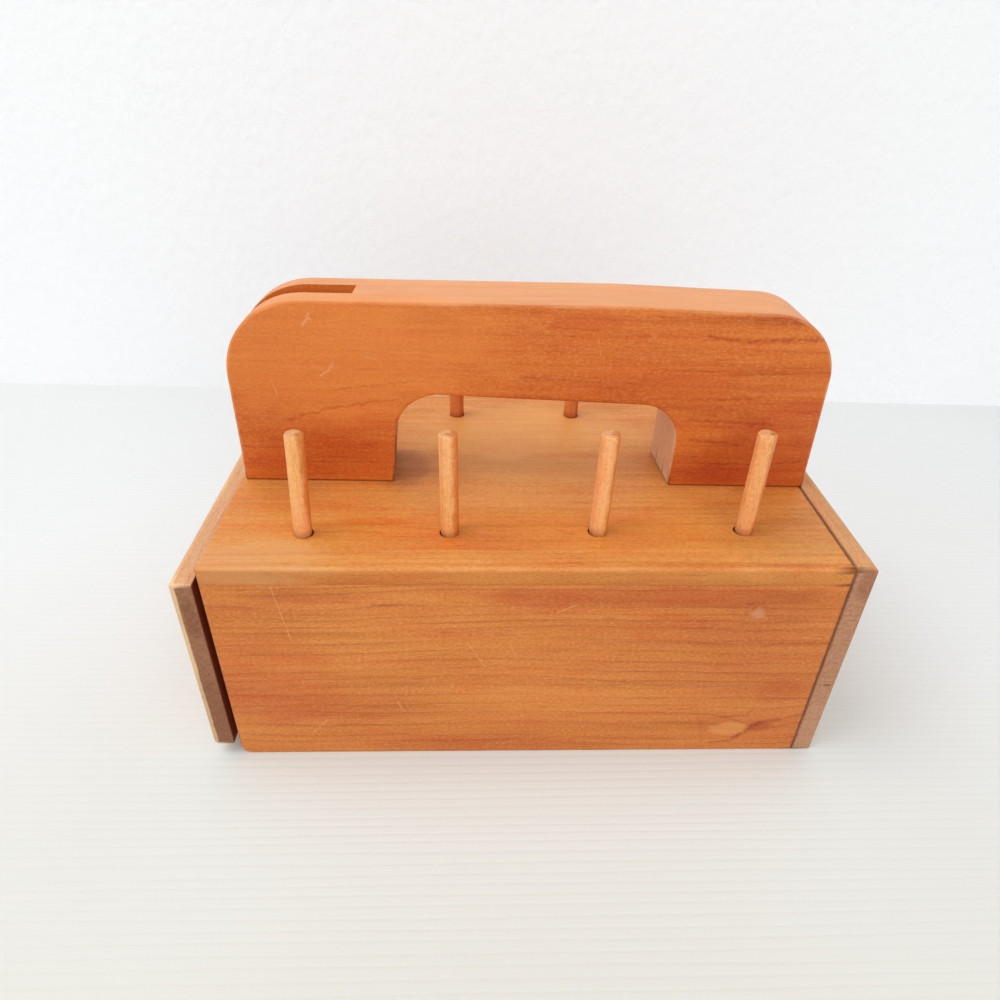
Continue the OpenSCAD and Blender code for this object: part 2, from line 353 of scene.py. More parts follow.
@dataclass(frozen=True)
class Wood:
    """An oiled softwood: its colours, growth rings, fibres and wear, and the painted light and shade laid on
    it.
    """

    name: str
    grain: Grain = Grain.LENGTH
    pale: Colour = (0.70, 0.27, 0.075)
    deep: Colour = (0.56, 0.17, 0.04)
    line: Colour = (0.50, 0.32, 0.20)
    blush: Colour = (0.56, 0.13, 0.035)
    worn: Colour = (0.90, 0.48, 0.20)
    end: Colour = (0.42, 0.20, 0.11)
    pith: tuple[float, float] = (0.03, -0.26)
    ring: float = 3.1 * MM
    sharp: float = 4.5
    line_share: float = 0.8
    blush_share: float = 0.5
    streak_share: float = 1.0
    mottle_share: float = 0.55
    warm_share: float = 0.75
    end_pores: float = 0.45
    wave: float = 5.0 * MM
    shift: float = 0.0
    rough: float = 0.5
    wear_share: float = 0.75
    end_share: float = 0.85
    top_light_share: float = 0.0
    scratches: tuple[Stroke, ...] = ()
    veins: tuple[Stroke, ...] = ()
    stroke_axes: str = "xz"
    stroke_bend: float = 1.0 * MM
    patches: tuple[Patch, ...] = ()
    swirls: tuple[Swirl, ...] = ()

    def _along(self, shader: Shader) -> tuple[Value, Value, Value]:
        """The place along the fibres and across them."""
        x, y, z = shader.place()
        order = {Grain.LENGTH: (x, y, z), Grain.DEPTH: (y, x, z), Grain.UPRIGHT: (z, x, y)}
        return order[self.grain]

    def _end_grain(self, shader: Shader) -> Value:
        """1 on faces that cut across the fibres."""
        x, y, z = shader.facing()
        across = {Grain.LENGTH: x, Grain.DEPTH: y, Grain.UPRIGHT: z}[self.grain]
        return abs(across).rise(0.55, 0.9)

    def _stroke_mask(self, shader: Shader, marks: Sequence[Stroke]) -> Value:
        """1 in the middle of each stroke, broken here and there.

        Args:
            shader: The shader.
            marks: The strokes.

        Returns:
            The mask.
        """
        x, y, z = shader.place()
        first, second = {"xz": (x, z), "xy": (x, y), "yz": (y, z)}[self.stroke_axes]
        ragged = shader.noise(x * 450.0, y * 450.0, z * 450.0, 3.0)
        sideways = shader.noise(x * 330.0 + 7.0, y * 330.0, z * 330.0, 2.0)
        first = first + (ragged - 0.5) * self.stroke_bend
        second = second + (sideways - 0.5) * self.stroke_bend
        total: Value | None = None
        for mark in marks:
            run = (mark.end[0] - mark.start[0], mark.end[1] - mark.start[1])
            span = math.hypot(*run)
            way = (run[0] / span, run[1] / span)
            across = abs((first - mark.start[0]) * -way[1] + (second - mark.start[1]) * way[0])
            along = (first - mark.start[0]) * way[0] + (second - mark.start[1]) * way[1]
            beyond = abs(along - span / 2.0) - span / 2.0
            away = across.most(beyond) + (ragged - 0.5) * mark.width
            mask = away.rise(mark.width, 0.0) * mark.strength
            total = mask if total is None else total.most(mask)
        return total * (0.3 + 0.7 * ragged.rise(0.36, 0.56))

    def _nearness(self, shader: Shader, middle: Sequence[float], size: Sequence[float]) -> Value:
        """The square of the distance from a place, 1 at the half sizes."""
        total: Value | None = None
        for item, centre, half in zip(shader.place(), middle, size):
            part = (item - centre) / half
            total = part * part if total is None else total + part * part
        return total

    def _stains_and_painted_light(self, shader: Shader, body: Any) -> Any:
        """Lays the patches, stains and painted light and shade alike, over a colour."""
        if not self.patches:
            return body
        x, y, z = shader.place()
        torn = shader.noise(x * 55.0, y * 130.0, z * 130.0, 4.0, 0.6) - 0.5
        for patch in self.patches:
            away = self._nearness(shader, patch.middle, patch.size) + torn * (patch.ragged * 2.0)
            mask = away.rise(1.2, 0.25) * patch.share
            body = shader.mix(mask, body, patch.tint, "MULTIPLY" if patch.multiply else "MIX")
        return body

    def _rings(self, shader: Shader, u: Value, v: Value, w: Value) -> Value:
        """Late wood: 0 in the soft part of each year, rising to a line that ends sharply."""
        sweep = shader.noise(u * 6.0, v * 14.0, w * 14.0, 2.0)
        swirl = shader.noise(u * 5.0 + 9.0, v * 12.0, w * 12.0, 2.0)
        ripple = shader.noise(u * 26.0, v * 60.0, w * 60.0, 3.0)
        side = v - self.pith[0] + (sweep - 0.5) * (2.0 * self.wave)
        height = w - self.pith[1] + (swirl - 0.5) * (2.0 * self.wave)
        radius = (side * side + height * height).root()
        for knot in self.swirls:
            bulge = 1.0 / (1.0 + self._nearness(shader, knot.middle, knot.size))
            radius = radius + bulge * bulge * knot.lift
        years = shader.noise(radius * 120.0, u * 1.5, self.shift, 1.0)
        phase = (radius / self.ring + (ripple - 0.5) * 0.7 + years * 3.0).fract()
        return (phase ** self.sharp) * phase.rise(1.0, 0.88)

    def material(self) -> bpy.types.Material:
        """Builds the material.

        Returns:
            The finished material.
        """
        shader = Shader(self.name)
        u, v, w = self._along(shader)
        u = u + self.shift
        fade = shader.noise(u * 14.0, v * 90.0, w * 90.0 + 3.0, 3.0).rise(0.36, 0.62)
        late = self._rings(shader, u, v, w) * (0.3 + 0.7 * fade)
        streak = shader.noise(u * 8.0, v * 260.0, w * 260.0, 5.0, 0.62)
        fibre = shader.noise(u * 70.0, v * 1500.0, w * 1500.0, 2.0)
        cloud = shader.noise(u * 7.0 + 4.0, v * 24.0, w * 24.0, 4.0, 0.55)
        second = shader.noise(u * 11.0 + 31.0, v * 40.0, w * 40.0, 3.0)
        mottle = shader.noise(u * 650.0, v * 1300.0, w * 1300.0, 3.0, 0.6)
        warmth = shader.noise(u * 22.0 + 5.0, v * 150.0, w * 150.0, 4.0, 0.6)
        fleck = shader.noise(u * 90.0, v * 800.0, w * 800.0 + 7.0, 2.0).rise(0.62, 0.76)
        tone = 0.5 + (streak - 0.5) * (1.5 * self.streak_share) + (cloud - 0.5) * 2.2
        body = shader.mix(tone.held(), self.pale, self.deep)
        body = shader.mix(second.rise(0.5, 0.72) * self.blush_share, body, self.blush)
        body = shader.mix(late * self.line_share, body, self.line, "MULTIPLY")
        body = shader.mix(streak.rise(0.56, 0.8) * (0.55 * self.streak_share), body, self.line, "MULTIPLY")
        body = shader.mix(fleck * 0.4, body, self.line, "MULTIPLY")
        body = shader.mix(warmth.rise(0.46, 0.72) * self.warm_share, body, (1.0, 0.74, 0.62), "MULTIPLY")
        body = shader.mix(warmth.rise(0.50, 0.26) * self.warm_share, body, (0.98, 1.0, 0.66), "MULTIPLY")
        body = shader.mix(mottle.rise(0.42, 0.74) * self.mottle_share, body, (0.74, 0.58, 0.42), "MULTIPLY")
        body = shader.mix(mottle.rise(0.50, 0.22) * (0.5 * self.mottle_share), body, self.worn)
        body = shader.mix(fibre.rise(0.55, 0.8) * 0.18, body, self.worn)
        crosscut = self._end_grain(shader)
        pores = shader.noise(u * 60.0, v * 700.0, w * 700.0, 3.0).rise(0.35, 0.7)
        darker = (pores * self.end_pores + late * (0.8 * self.end_pores)).held()
        end_colour = shader.mix(darker, self.end, self.line, "MULTIPLY")
        body = shader.mix(crosscut * self.end_share, body, end_colour)
        rub = shader.noise(u * 50.0, v * 150.0, w * 150.0, 3.0)
        wear = (shader.attribute("wear") + (rub - 0.5) * 0.9).rise(0.3, 1.0) * self.wear_share
        # Painted light: faces that look up take the worn colour, so the tops read lighter; from here wear
        # holds real wear and this painted light.
        if self.top_light_share:
            upward = shader.facing()[2].rise(0.55, 1.0)
            wear = wear.most(upward * self.top_light_share * (0.6 + 0.6 * rub)).held()
        body = shader.mix(wear, body, self.worn)
        body = self._stains_and_painted_light(shader, body)
        # Darkens where the mesh stores dirt and painted shade.
        grime_and_shade = (shader.attribute("grime_and_shade") * (0.7 + 0.6 * rub)).held()
        body = shader.mix(grime_and_shade, body, (0.22, 0.12, 0.07), "MULTIPLY")
        height_map = late * -0.5 + streak * 0.5 + fibre * 0.25 + mottle * 0.3 - fleck * 0.4
        if self.veins:
            vein = self._stroke_mask(shader, self.veins)
            body = shader.mix(vein, body, (0.64, 0.38, 0.30), "MULTIPLY")
        if self.scratches:
            scratch = self._stroke_mask(shader, self.scratches)
            body = shader.mix(scratch, body, self.worn)
            height_map = height_map - scratch * 0.8
        rough = (self.rough + (streak - 0.5) * 0.25 + wear * 0.12 + crosscut * 0.15).held()
        return shader.surface(
            body, rough, height_map, 0.14 * MM, {"Specular IOR Level": 0.35, "IOR": 1.45}
        )


@dataclass(frozen=True)
class Steel:
    """Zinc plated screw steel."""

    name: str = "screw_steel"
    colour: Colour = (0.56, 0.55, 0.52)
    dull: Colour = (0.34, 0.32, 0.29)

    def material(self) -> bpy.types.Material:
        """Builds the material."""
        shader = Shader(self.name)
        x, y, z = shader.place()
        spots = shader.noise(x * 900.0, y * 900.0, z * 900.0, 3.0)
        turned = shader.noise(x * 300.0, y * 300.0, z * 6000.0, 2.0)
        colour = shader.mix(spots.rise(0.45, 0.7), self.colour, self.dull)
        rough = 0.28 + 0.25 * spots
        return shader.surface(colour, rough, turned, 0.02 * MM, {"Metallic": 1.0})


@dataclass(frozen=True)
class Paper:
    """The pale table top or wall behind the box, mixed unevenly from two near colours."""

    name: str
    colour: Colour
    seen: Colour
    ribs: float = 0.0
    grit: float = 0.0
    near_share: float = 0.0

    def material(self) -> bpy.types.Material:
        """Builds the material."""
        shader = Shader(self.name)
        x, y, z = shader.place()
        cloud = shader.noise(x * 3.0, y * 3.0, z * 3.0, 2.0)
        colour = shader.mix(cloud.rise(0.3, 0.7) * 0.5, self.colour, self.seen)
        # Painted shade: the floor gets darker towards the camera.
        colour = shader.mix(y.rise(0.02, -0.22) * self.near_share, colour, (0.715, 0.715, 0.655))
        # Painted light: a cool tint on the floor in front of the box offsets the orange light that the box
        # throws back there.
        shade = (y.rise(-0.19, -0.09) * abs(x).rise(0.19, 0.09)).held()
        colour = shader.mix(shade * self.near_share, colour, (0.79, 0.84, 0.81))
        height = shader.noise(x * 110.0, y * 110.0, z * 110.0, 4.0, 0.6) * self.grit
        if self.ribs:
            wander = shader.noise(x * 3.0, y * 60.0, z * 3.0, 2.0)
            rib = abs((y / self.ribs + wander * 1.4).fract() - 0.5).rise(0.0, 0.3)
            height = height + rib * 0.2
            colour = shader.mix((1.0 - rib) * 0.06, colour, (0.6, 0.58, 0.54))
        return shader.surface(colour, 0.75, height, 0.3 * MM, {"Specular IOR Level": 0.2})


# Mesh work ----------------------------------------------------------------------------------


class Workshop:
    """Bench tools that shape one piece in a bmesh and put it in the scene."""

    def __init__(self) -> None:
        """Starts an empty piece with its wear layer and a layer for dirt and painted shade."""
        self.bm = bmesh.new()
        self._add_layers()

    def _add_layers(self) -> None:
        """Finds or makes the layers that the finishes read."""
        for name in ("wear", "grime_and_shade"):
            if name not in self.bm.verts.layers.float:
                self.bm.verts.layers.float.new(name)
        if "arris" not in self.bm.faces.layers.float:
            self.bm.faces.layers.float.new("arris")
        if "bevel_weight_edge" not in self.bm.edges.layers.float:
            self.bm.edges.layers.float.new("bevel_weight_edge")
        self.wear = self.bm.verts.layers.float["wear"]
        self.grime_and_shade = self.bm.verts.layers.float["grime_and_shade"]
        self.arris = self.bm.faces.layers.float["arris"]
        self.weight = self.bm.edges.layers.float["bevel_weight_edge"]

    def block(self, low: Sequence[float], high: Sequence[float]) -> None:
        """Makes a squared block between two corners."""
        size = Vector(high) - Vector(low)
        middle = (Vector(high) + Vector(low)) / 2.0
        matrix = Matrix.Translation(middle) @ Matrix.Diagonal((*size, 1.0))
        bmesh.ops.create_cube(self.bm, size=1.0, matrix=matrix)

    def plate(self, outline: Sequence[tuple[float, float]], near: float, far: float) -> None:
        """Saws a plate from an outline in X and Z.

        Args:
            outline: Its corners.
            near: Y of the front face.
            far: Y of the rear face.
        """
        corners = [self.bm.verts.new((x, near, z)) for x, z in outline]
        face = self.bm.faces.new(corners)
        grown = bmesh.ops.extrude_face_region(self.bm, geom=[face])
        moved = [item for item in grown["geom"] if isinstance(item, bmesh.types.BMVert)]
        bmesh.ops.translate(self.bm, verts=moved, vec=(0.0, far - near, 0.0))
        bmesh.ops.recalc_face_normals(self.bm, faces=self.bm.faces)

    def turned(self, profile: Sequence[tuple[float, float]], steps: int, matrix: Matrix) -> None:
        """Turns a profile round its axis.

        Args:
            profile: Pairs of radius and height, from the axis to the axis.
            steps: Faces round the piece.
            matrix: Places the turned piece, whose axis is Z.
        """
        points = [self.bm.verts.new((radius, 0.0, height)) for radius, height in profile]
        edges = [self.bm.edges.new(pair) for pair in zip(points, points[1:])]
        bmesh.ops.spin(
            self.bm,
            geom=points + edges,
            cent=(0.0, 0.0, 0.0),
            axis=(0.0, 0.0, 1.0),
            angle=math.tau,
            steps=steps,
            use_merge=True,
        )
        bmesh.ops.remove_doubles(self.bm, verts=self.bm.verts, dist=SNAP)
        bmesh.ops.recalc_face_normals(self.bm, faces=self.bm.faces)
        self.crease(30.0)
        bmesh.ops.transform(self.bm, matrix=matrix, verts=self.bm.verts)

    def crease(self, degrees: float) -> None:
        """Shades the whole piece smooth except across edges sharper than an angle."""
        for face in self.bm.faces:
            face.smooth = True
        for edge in self.bm.edges:
            edge.smooth = edge.calc_face_angle(0.0) < math.radians(degrees)

    def sharp_edges(self, keep: Callable[[Vector, Vector], bool]) -> list[bmesh.types.BMEdge]:
        """Finds the square edges that a test keeps.

        Args:
            keep: Takes an edge's middle and direction.

        Returns:
            The edges.
        """
        found = []
        for edge in self.bm.edges:
            if len(edge.link_faces) != 2 or edge.calc_face_angle(0.0) < SQUARE_EDGE:
                continue
            way = (edge.verts[1].co - edge.verts[0].co).normalized()
            if keep((edge.verts[0].co + edge.verts[1].co) / 2.0, way):
                found.append(edge)
        return found

    def round_over(
        self, edges: list[bmesh.types.BMEdge], radius: float, segments: int = 3, wear: float = 0.0
    ) -> None:
        """Rounds edges over.

        Args:
            edges: The edges.
            radius: Offset of the bevel.
            segments: Faces across the bevel.
            wear: How worn the new faces are.
        """
        made = bmesh.ops.bevel(
            self.bm,
            geom=edges,
            offset=radius,
            offset_type="OFFSET",
            affect="EDGES",
            segments=segments,
            profile=0.5,
            material=-1,
            clamp_overlap=True,
        )
        for face in made["faces"]:
            face.smooth = True
            face[self.arris] = max(wear, 0.001)

    def round_by_weight(self, widest: float, segments: int) -> None:
        """Rounds every weighted edge with a Bevel modifier, so that unlike radii meet cleanly.

        Args:
            widest: Radius of an edge of weight 1.
            segments: Faces across the bevels.
        """
        mesh = bpy.data.meshes.new("blank")
        self.bm.to_mesh(mesh)
        self.bm.free()
        mesh.materials.append(None)
        mesh.materials.append(None)
        blank = bpy.data.objects.new("blank", mesh)
        bpy.context.collection.objects.link(blank)
        tool = blank.modifiers.new("round", "BEVEL")
        tool.limit_method = "WEIGHT"
        tool.width = widest
        tool.segments = segments
        tool.material = 1
        graph = bpy.context.evaluated_depsgraph_get()
        shaped = bpy.data.meshes.new_from_object(blank.evaluated_get(graph))
        self.bm = bmesh.new()
        self.bm.from_mesh(shaped)
        self._add_layers()
        for face in self.bm.faces:
            if face.material_index == 1:
                face.smooth = True
                face[self.arris] = 0.001
            face.material_index = 0
        bpy.data.objects.remove(blank)
        bpy.data.meshes.remove(mesh)
        bpy.data.meshes.remove(shaped)

    def line_faces(self, margin: float) -> None:
        """Draws a line inside each flat face, where the wear of its arrises ends."""
        for face in self.bm.faces:
            for vert in face.verts:
                vert[self.wear] = max(vert[self.wear], face[self.arris])
        for face in [face for face in self.bm.faces if not face[self.arris]]:
            box = [max(v.co[i] for v in face.verts) - min(v.co[i] for v in face.verts) for i in range(3)]
            narrow = sorted(box)[1]
            if narrow < 3.0 * margin:
                continue
            bmesh.ops.inset_region(self.bm, faces=[face], thickness=margin, use_even_offset=True)
            for vert in face.verts:
                vert[self.wear] = 0.0

    def cross_cuts(self, axis: int, low: float, high: float, count: int) -> None:
        """Cuts the mesh across at even places, so that long arrises can wander."""
        normal = [0.0, 0.0, 0.0]
        normal[axis] = 1.0
        for step in range(1, count):
            place = [0.0, 0.0, 0.0]
            place[axis] = low + (high - low) * step / count
            geometry = [*self.bm.verts, *self.bm.edges, *self.bm.faces]
            bmesh.ops.bisect_plane(self.bm, geom=geometry, dist=1e-7, plane_co=place, plane_no=normal)

    def weather(self, depth: float, seed: float) -> None:
        """Rubs the arrises inwards by up to depth, more here and less there."""
        self.bm.normal_update()
        moves = []
        for vert in self.bm.verts:
            if vert[self.wear] > 0.2:
                swing = noise.noise(vert.co * 45.0 + Vector((seed, seed, seed))) * 0.5 + 0.5
                fine = noise.noise(vert.co * 190.0 + Vector((seed, 0.0, 3.0))) * 0.25
                moves.append((vert, -vert.normal * depth * max(swing + fine, 0.0)))
        for vert, move in moves:
            vert.co += move

    def finish(self, name: str, materials: Sequence[bpy.types.Material]) -> bpy.types.Object:
        """Puts the piece in the scene.

        Args:
            name: Its name.
            materials: Its materials.

        Returns:
            The object, at the origin.
        """
        mesh = bpy.data.meshes.new(name)
        self.bm.normal_update()
        self.bm.to_mesh(mesh)
        self.bm.free()
        piece = bpy.data.objects.new(name, mesh)
        bpy.context.collection.objects.link(piece)
        for material in materials:
            mesh.materials.append(material)
        LOG.info("%s: %d faces", name, len(mesh.polygons))
        return piece


def carve(piece: bpy.types.Object, cutters: Iterable[bpy.types.Object]) -> None:
    """Cuts the shapes of cutters out of a piece and removes the cutters.

    Args:
        piece: The piece that keeps its name; the cut walls take the cutters' material.
        cutters: Closed meshes.
    """
    tools = list(cutters)
    for tool in tools:
        cut = piece.modifiers.new("cut", "BOOLEAN")
        cut.operation = "DIFFERENCE"
        cut.solver = "MANIFOLD"
        cut.material_mode = "TRANSFER"
        cut.object = tool
    graph = bpy.context.evaluated_depsgraph_get()
    carved = bpy.data.meshes.new_from_object(piece.evaluated_get(graph))
    old = piece.data
    piece.modifiers.clear()
    piece.data = carved
    bpy.data.meshes.remove(old)
    carved.name = piece.name
    for tool in tools:
        mesh = tool.data
        bpy.data.objects.remove(tool)
        bpy.data.meshes.remove(mesh)


def settle(piece: bpy.types.Object, body: str, slot: str, *nodes: str) -> None:
    """Gives a piece its body and hides the nodes that it stands for."""
    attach(piece, body)
    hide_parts(*nodes)


# Sub-assemblies -----------------------------------------------------------------------------


@dataclass(frozen=True)
class Arris:
    """How one edge of a board is rounded, worn and soiled."""

    radius: float = 0.35 * MM
    wear: float = 0.12
    grime_and_shade: float = 0.0


@dataclass
class Board:
    """One sawn and rounded board between two corners.

    Edges rounder than bold are rounded first, and the rims that this leaves get the radius rim.
    """

    name: str
    low: tuple[float, float, float]
    high: tuple[float, float, float]
    wood: Wood
    edges: dict[str, Arris] = field(default_factory=dict)
    plain: Arris = Arris()
    rub: float = 0.12 * MM
    bold: float = 3.0 * MM
    rim: float = 0.6 * MM
    seed: float = 1.0

    def _limits(self, code: str) -> list[tuple[int, float]]:
        """Turns a code such as "-y+z" into the two axes of an edge and where it lies on them."""
        limits = []
        for sign, letter in zip(code[::2], code[1::2]):
            axis = "xyz".index(letter)
            limits.append((axis, (self.high if sign == "+" else self.low)[axis]))
        return limits

    def _plan(self) -> list[tuple[list[tuple[int, float]], Arris]]:
        """Lists all twelve edges with their treatment."""
        plan = []
        for pair in ("xy", "xz", "yz"):
            for signs in ("--", "-+", "+-", "++"):
                code = signs[0] + pair[0] + signs[1] + pair[1]
                plan.append((self._limits(code), self.edges.get(code, self.plain)))
        return plan

    def _lies_on(self, edge: bmesh.types.BMEdge, limits: list[tuple[int, float]]) -> bool:
        """Whether a mesh edge lies on one of the board's edges."""
        return all(self._off(vert.co, limits) < SNAP for vert in edge.verts)

    def _off(self, spot: Vector, limits: list[tuple[int, float]]) -> float:
        """How far a spot is from an edge."""
        return max(abs(spot[axis] - place) for axis, place in limits)

    def build(self) -> bpy.types.Object:
        """Shapes and dresses the board.

        Returns:
            The finished piece.
        """
        shop = Workshop()
        shop.block(self.low, self.high)
        plan = self._plan()
        for limits, arris in plan:
            if arris.radius > self.bold:
                corner = [e for e in shop.bm.edges if self._lies_on(e, limits)]
                shop.round_over(corner, arris.radius, 8)
        widest = max(arris.radius for _, arris in plan if arris.radius <= self.bold)
        rims = shop.sharp_edges(lambda middle, way: True)
        for edge in shop.bm.edges:
            found = [arris for limits, arris in plan if self._lies_on(edge, limits)]
            if found:
                edge[shop.weight] = found[0].radius / widest
            elif edge in rims:
                edge[shop.weight] = self.rim / widest
        shop.round_by_weight(widest, 4)
        shop.line_faces(1.0 * MM)
        for axis in range(3):
            span = self.high[axis] - self.low[axis]
            if span > 20 * MM:
                shop.cross_cuts(axis, self.low[axis], self.high[axis], max(int(span / (9 * MM)), 2))
        for vert in shop.bm.verts:
            worn, soiled = 0.0, 0.0
            for limits, arris in plan:
                near = 1.0 - (self._off(vert.co, limits) - arris.radius) / (0.9 * MM)
                near = min(max(near, 0.0), 1.0)
                worn = max(worn, near * arris.wear)
                soiled = max(soiled, near * arris.grime_and_shade)
            vert[shop.wear] = worn
            vert[shop.grime_and_shade] = soiled
        shop.weather(self.rub, self.seed)
        return shop.finish(self.name, [self.wood.material()])


@dataclass
class BoxShell:
    """The glued box: top, front, rear, bottom and right end."""

    length: float = 254 * MM
    depth: float = 155.6 * MM
    height: float = 107.2 * MM
    panel: float = 7.6 * MM
    end: float = 9.6 * MM
    floor: float = 6.4 * MM
    body: str = "case"

    @property
    def left(self) -> float:
        """X of the open end."""
        return -self.length / 2.0

    @property
    def right(self) -> float:
        """X of the closed end's inner side."""
        return self.length / 2.0

    @property
    def half(self) -> float:
        """Half of the depth."""
        return self.depth / 2.0

    def _top(self, pegs: "SpoolPegs") -> None:
        """The top panel with the holes of the pegs."""
        top = Board(
            "top_panel_board",
            (self.left, -self.half, self.height - self.panel),
            (self.right, self.half, self.height),
            TOP_WOOD,
            {
                "-y+z": Arris(1.5 * MM, 0.42),
                "-x+z": Arris(0.9 * MM, 0.35),
                "+y+z": Arris(0.5 * MM, 0.4),
                "+x+z": Arris(0.3 * MM, 0.0, 1.0),
                "-y-z": Arris(0.10 * MM, 0.0, 0.1),
                "+x-y": Arris(0.2 * MM, 0.0, 0.9),
            },
            seed=2.0,
        ).build()
        carve(top, pegs.hole_cutters())
        settle(top, self.body, "board_wood", "top_panel")

    def _walls(self) -> None:
        """The front and rear panels."""
        wall = self.height - self.panel
        sides = (
            ("front", -self.half, -self.half + self.panel, "-", FRONT_WOOD),
            ("rear", self.half - self.panel, self.half, "+", REAR_WOOD),
        )
        for seed, (name, near, far, out, wood) in enumerate(sides):
            board = Board(
                f"{name}_panel_board",
                (self.left, near, 0.0),
                (self.right, far, wall),
                wood,
                {
                    "-x-z": Arris(5.0 * MM if name == "front" else 0.8 * MM, 0.15),
                    f"{out}y-z": Arris(0.8 * MM, 0.25),
                    f"-x{out}y": Arris(0.5 * MM, 0.25),
                    f"{out}y+z": Arris(0.10 * MM, 0.0, 0.1),
                    f"+x{out}y": Arris(0.22 * MM, 0.0, 1.0),
                },
                seed=3.0 + seed,
            ).build()
            settle(board, self.body, "board_wood", f"{name}_panel")

    def _floor(self) -> None:
        """The bottom between the walls."""
        board = Board(
            "bottom_panel_board",
            (self.left, -self.half + self.panel, 0.0),
            (self.right, self.half - self.panel, self.floor),
            replace(INNER_WOOD, name="bottom_wood", shift=0.2),
            {"-x-z": Arris(3.0 * MM, 0.2)},
            seed=5.0,
        ).build()
        settle(board, self.body, "inner_wood", "bottom_panel")

    def _end(self) -> None:
        """The right end board, which covers the ends of all the others."""
        board = Board(
            "right_end_board",
            (self.right, -self.half, 0.0),
            (self.right + self.end, self.half, self.height),
            END_WOOD,
            {
                "+x-y": Arris(2.0 * MM, 0.35),
                "+x+y": Arris(2.0 * MM, 0.35),
                "+x+z": Arris(2.6 * MM, 0.3),
                "+x-z": Arris(1.8 * MM, 0.3),
                "-y+z": Arris(1.2 * MM, 0.4),
                "-x+z": Arris(0.35 * MM, 0.1, 0.7),
                "-x-y": Arris(0.22 * MM, 0.0, 0.7),
            },
            seed=6.0,
        ).build()
        settle(board, self.body, "end_wood", "right_end_panel")

    def build(self, pegs: "SpoolPegs") -> None:
        """Builds the shell's pieces."""
        self._top(pegs)
        self._walls()
        self._floor()
        self._end()


@dataclass(frozen=True)
class Layer:
    """One layer of the handle: its place in the thickness, where it begins and its rims."""

    name: str
    near: float
    far: float
    start: float
    near_rim: float
    far_rim: float
    wood: Wood
    seed: float


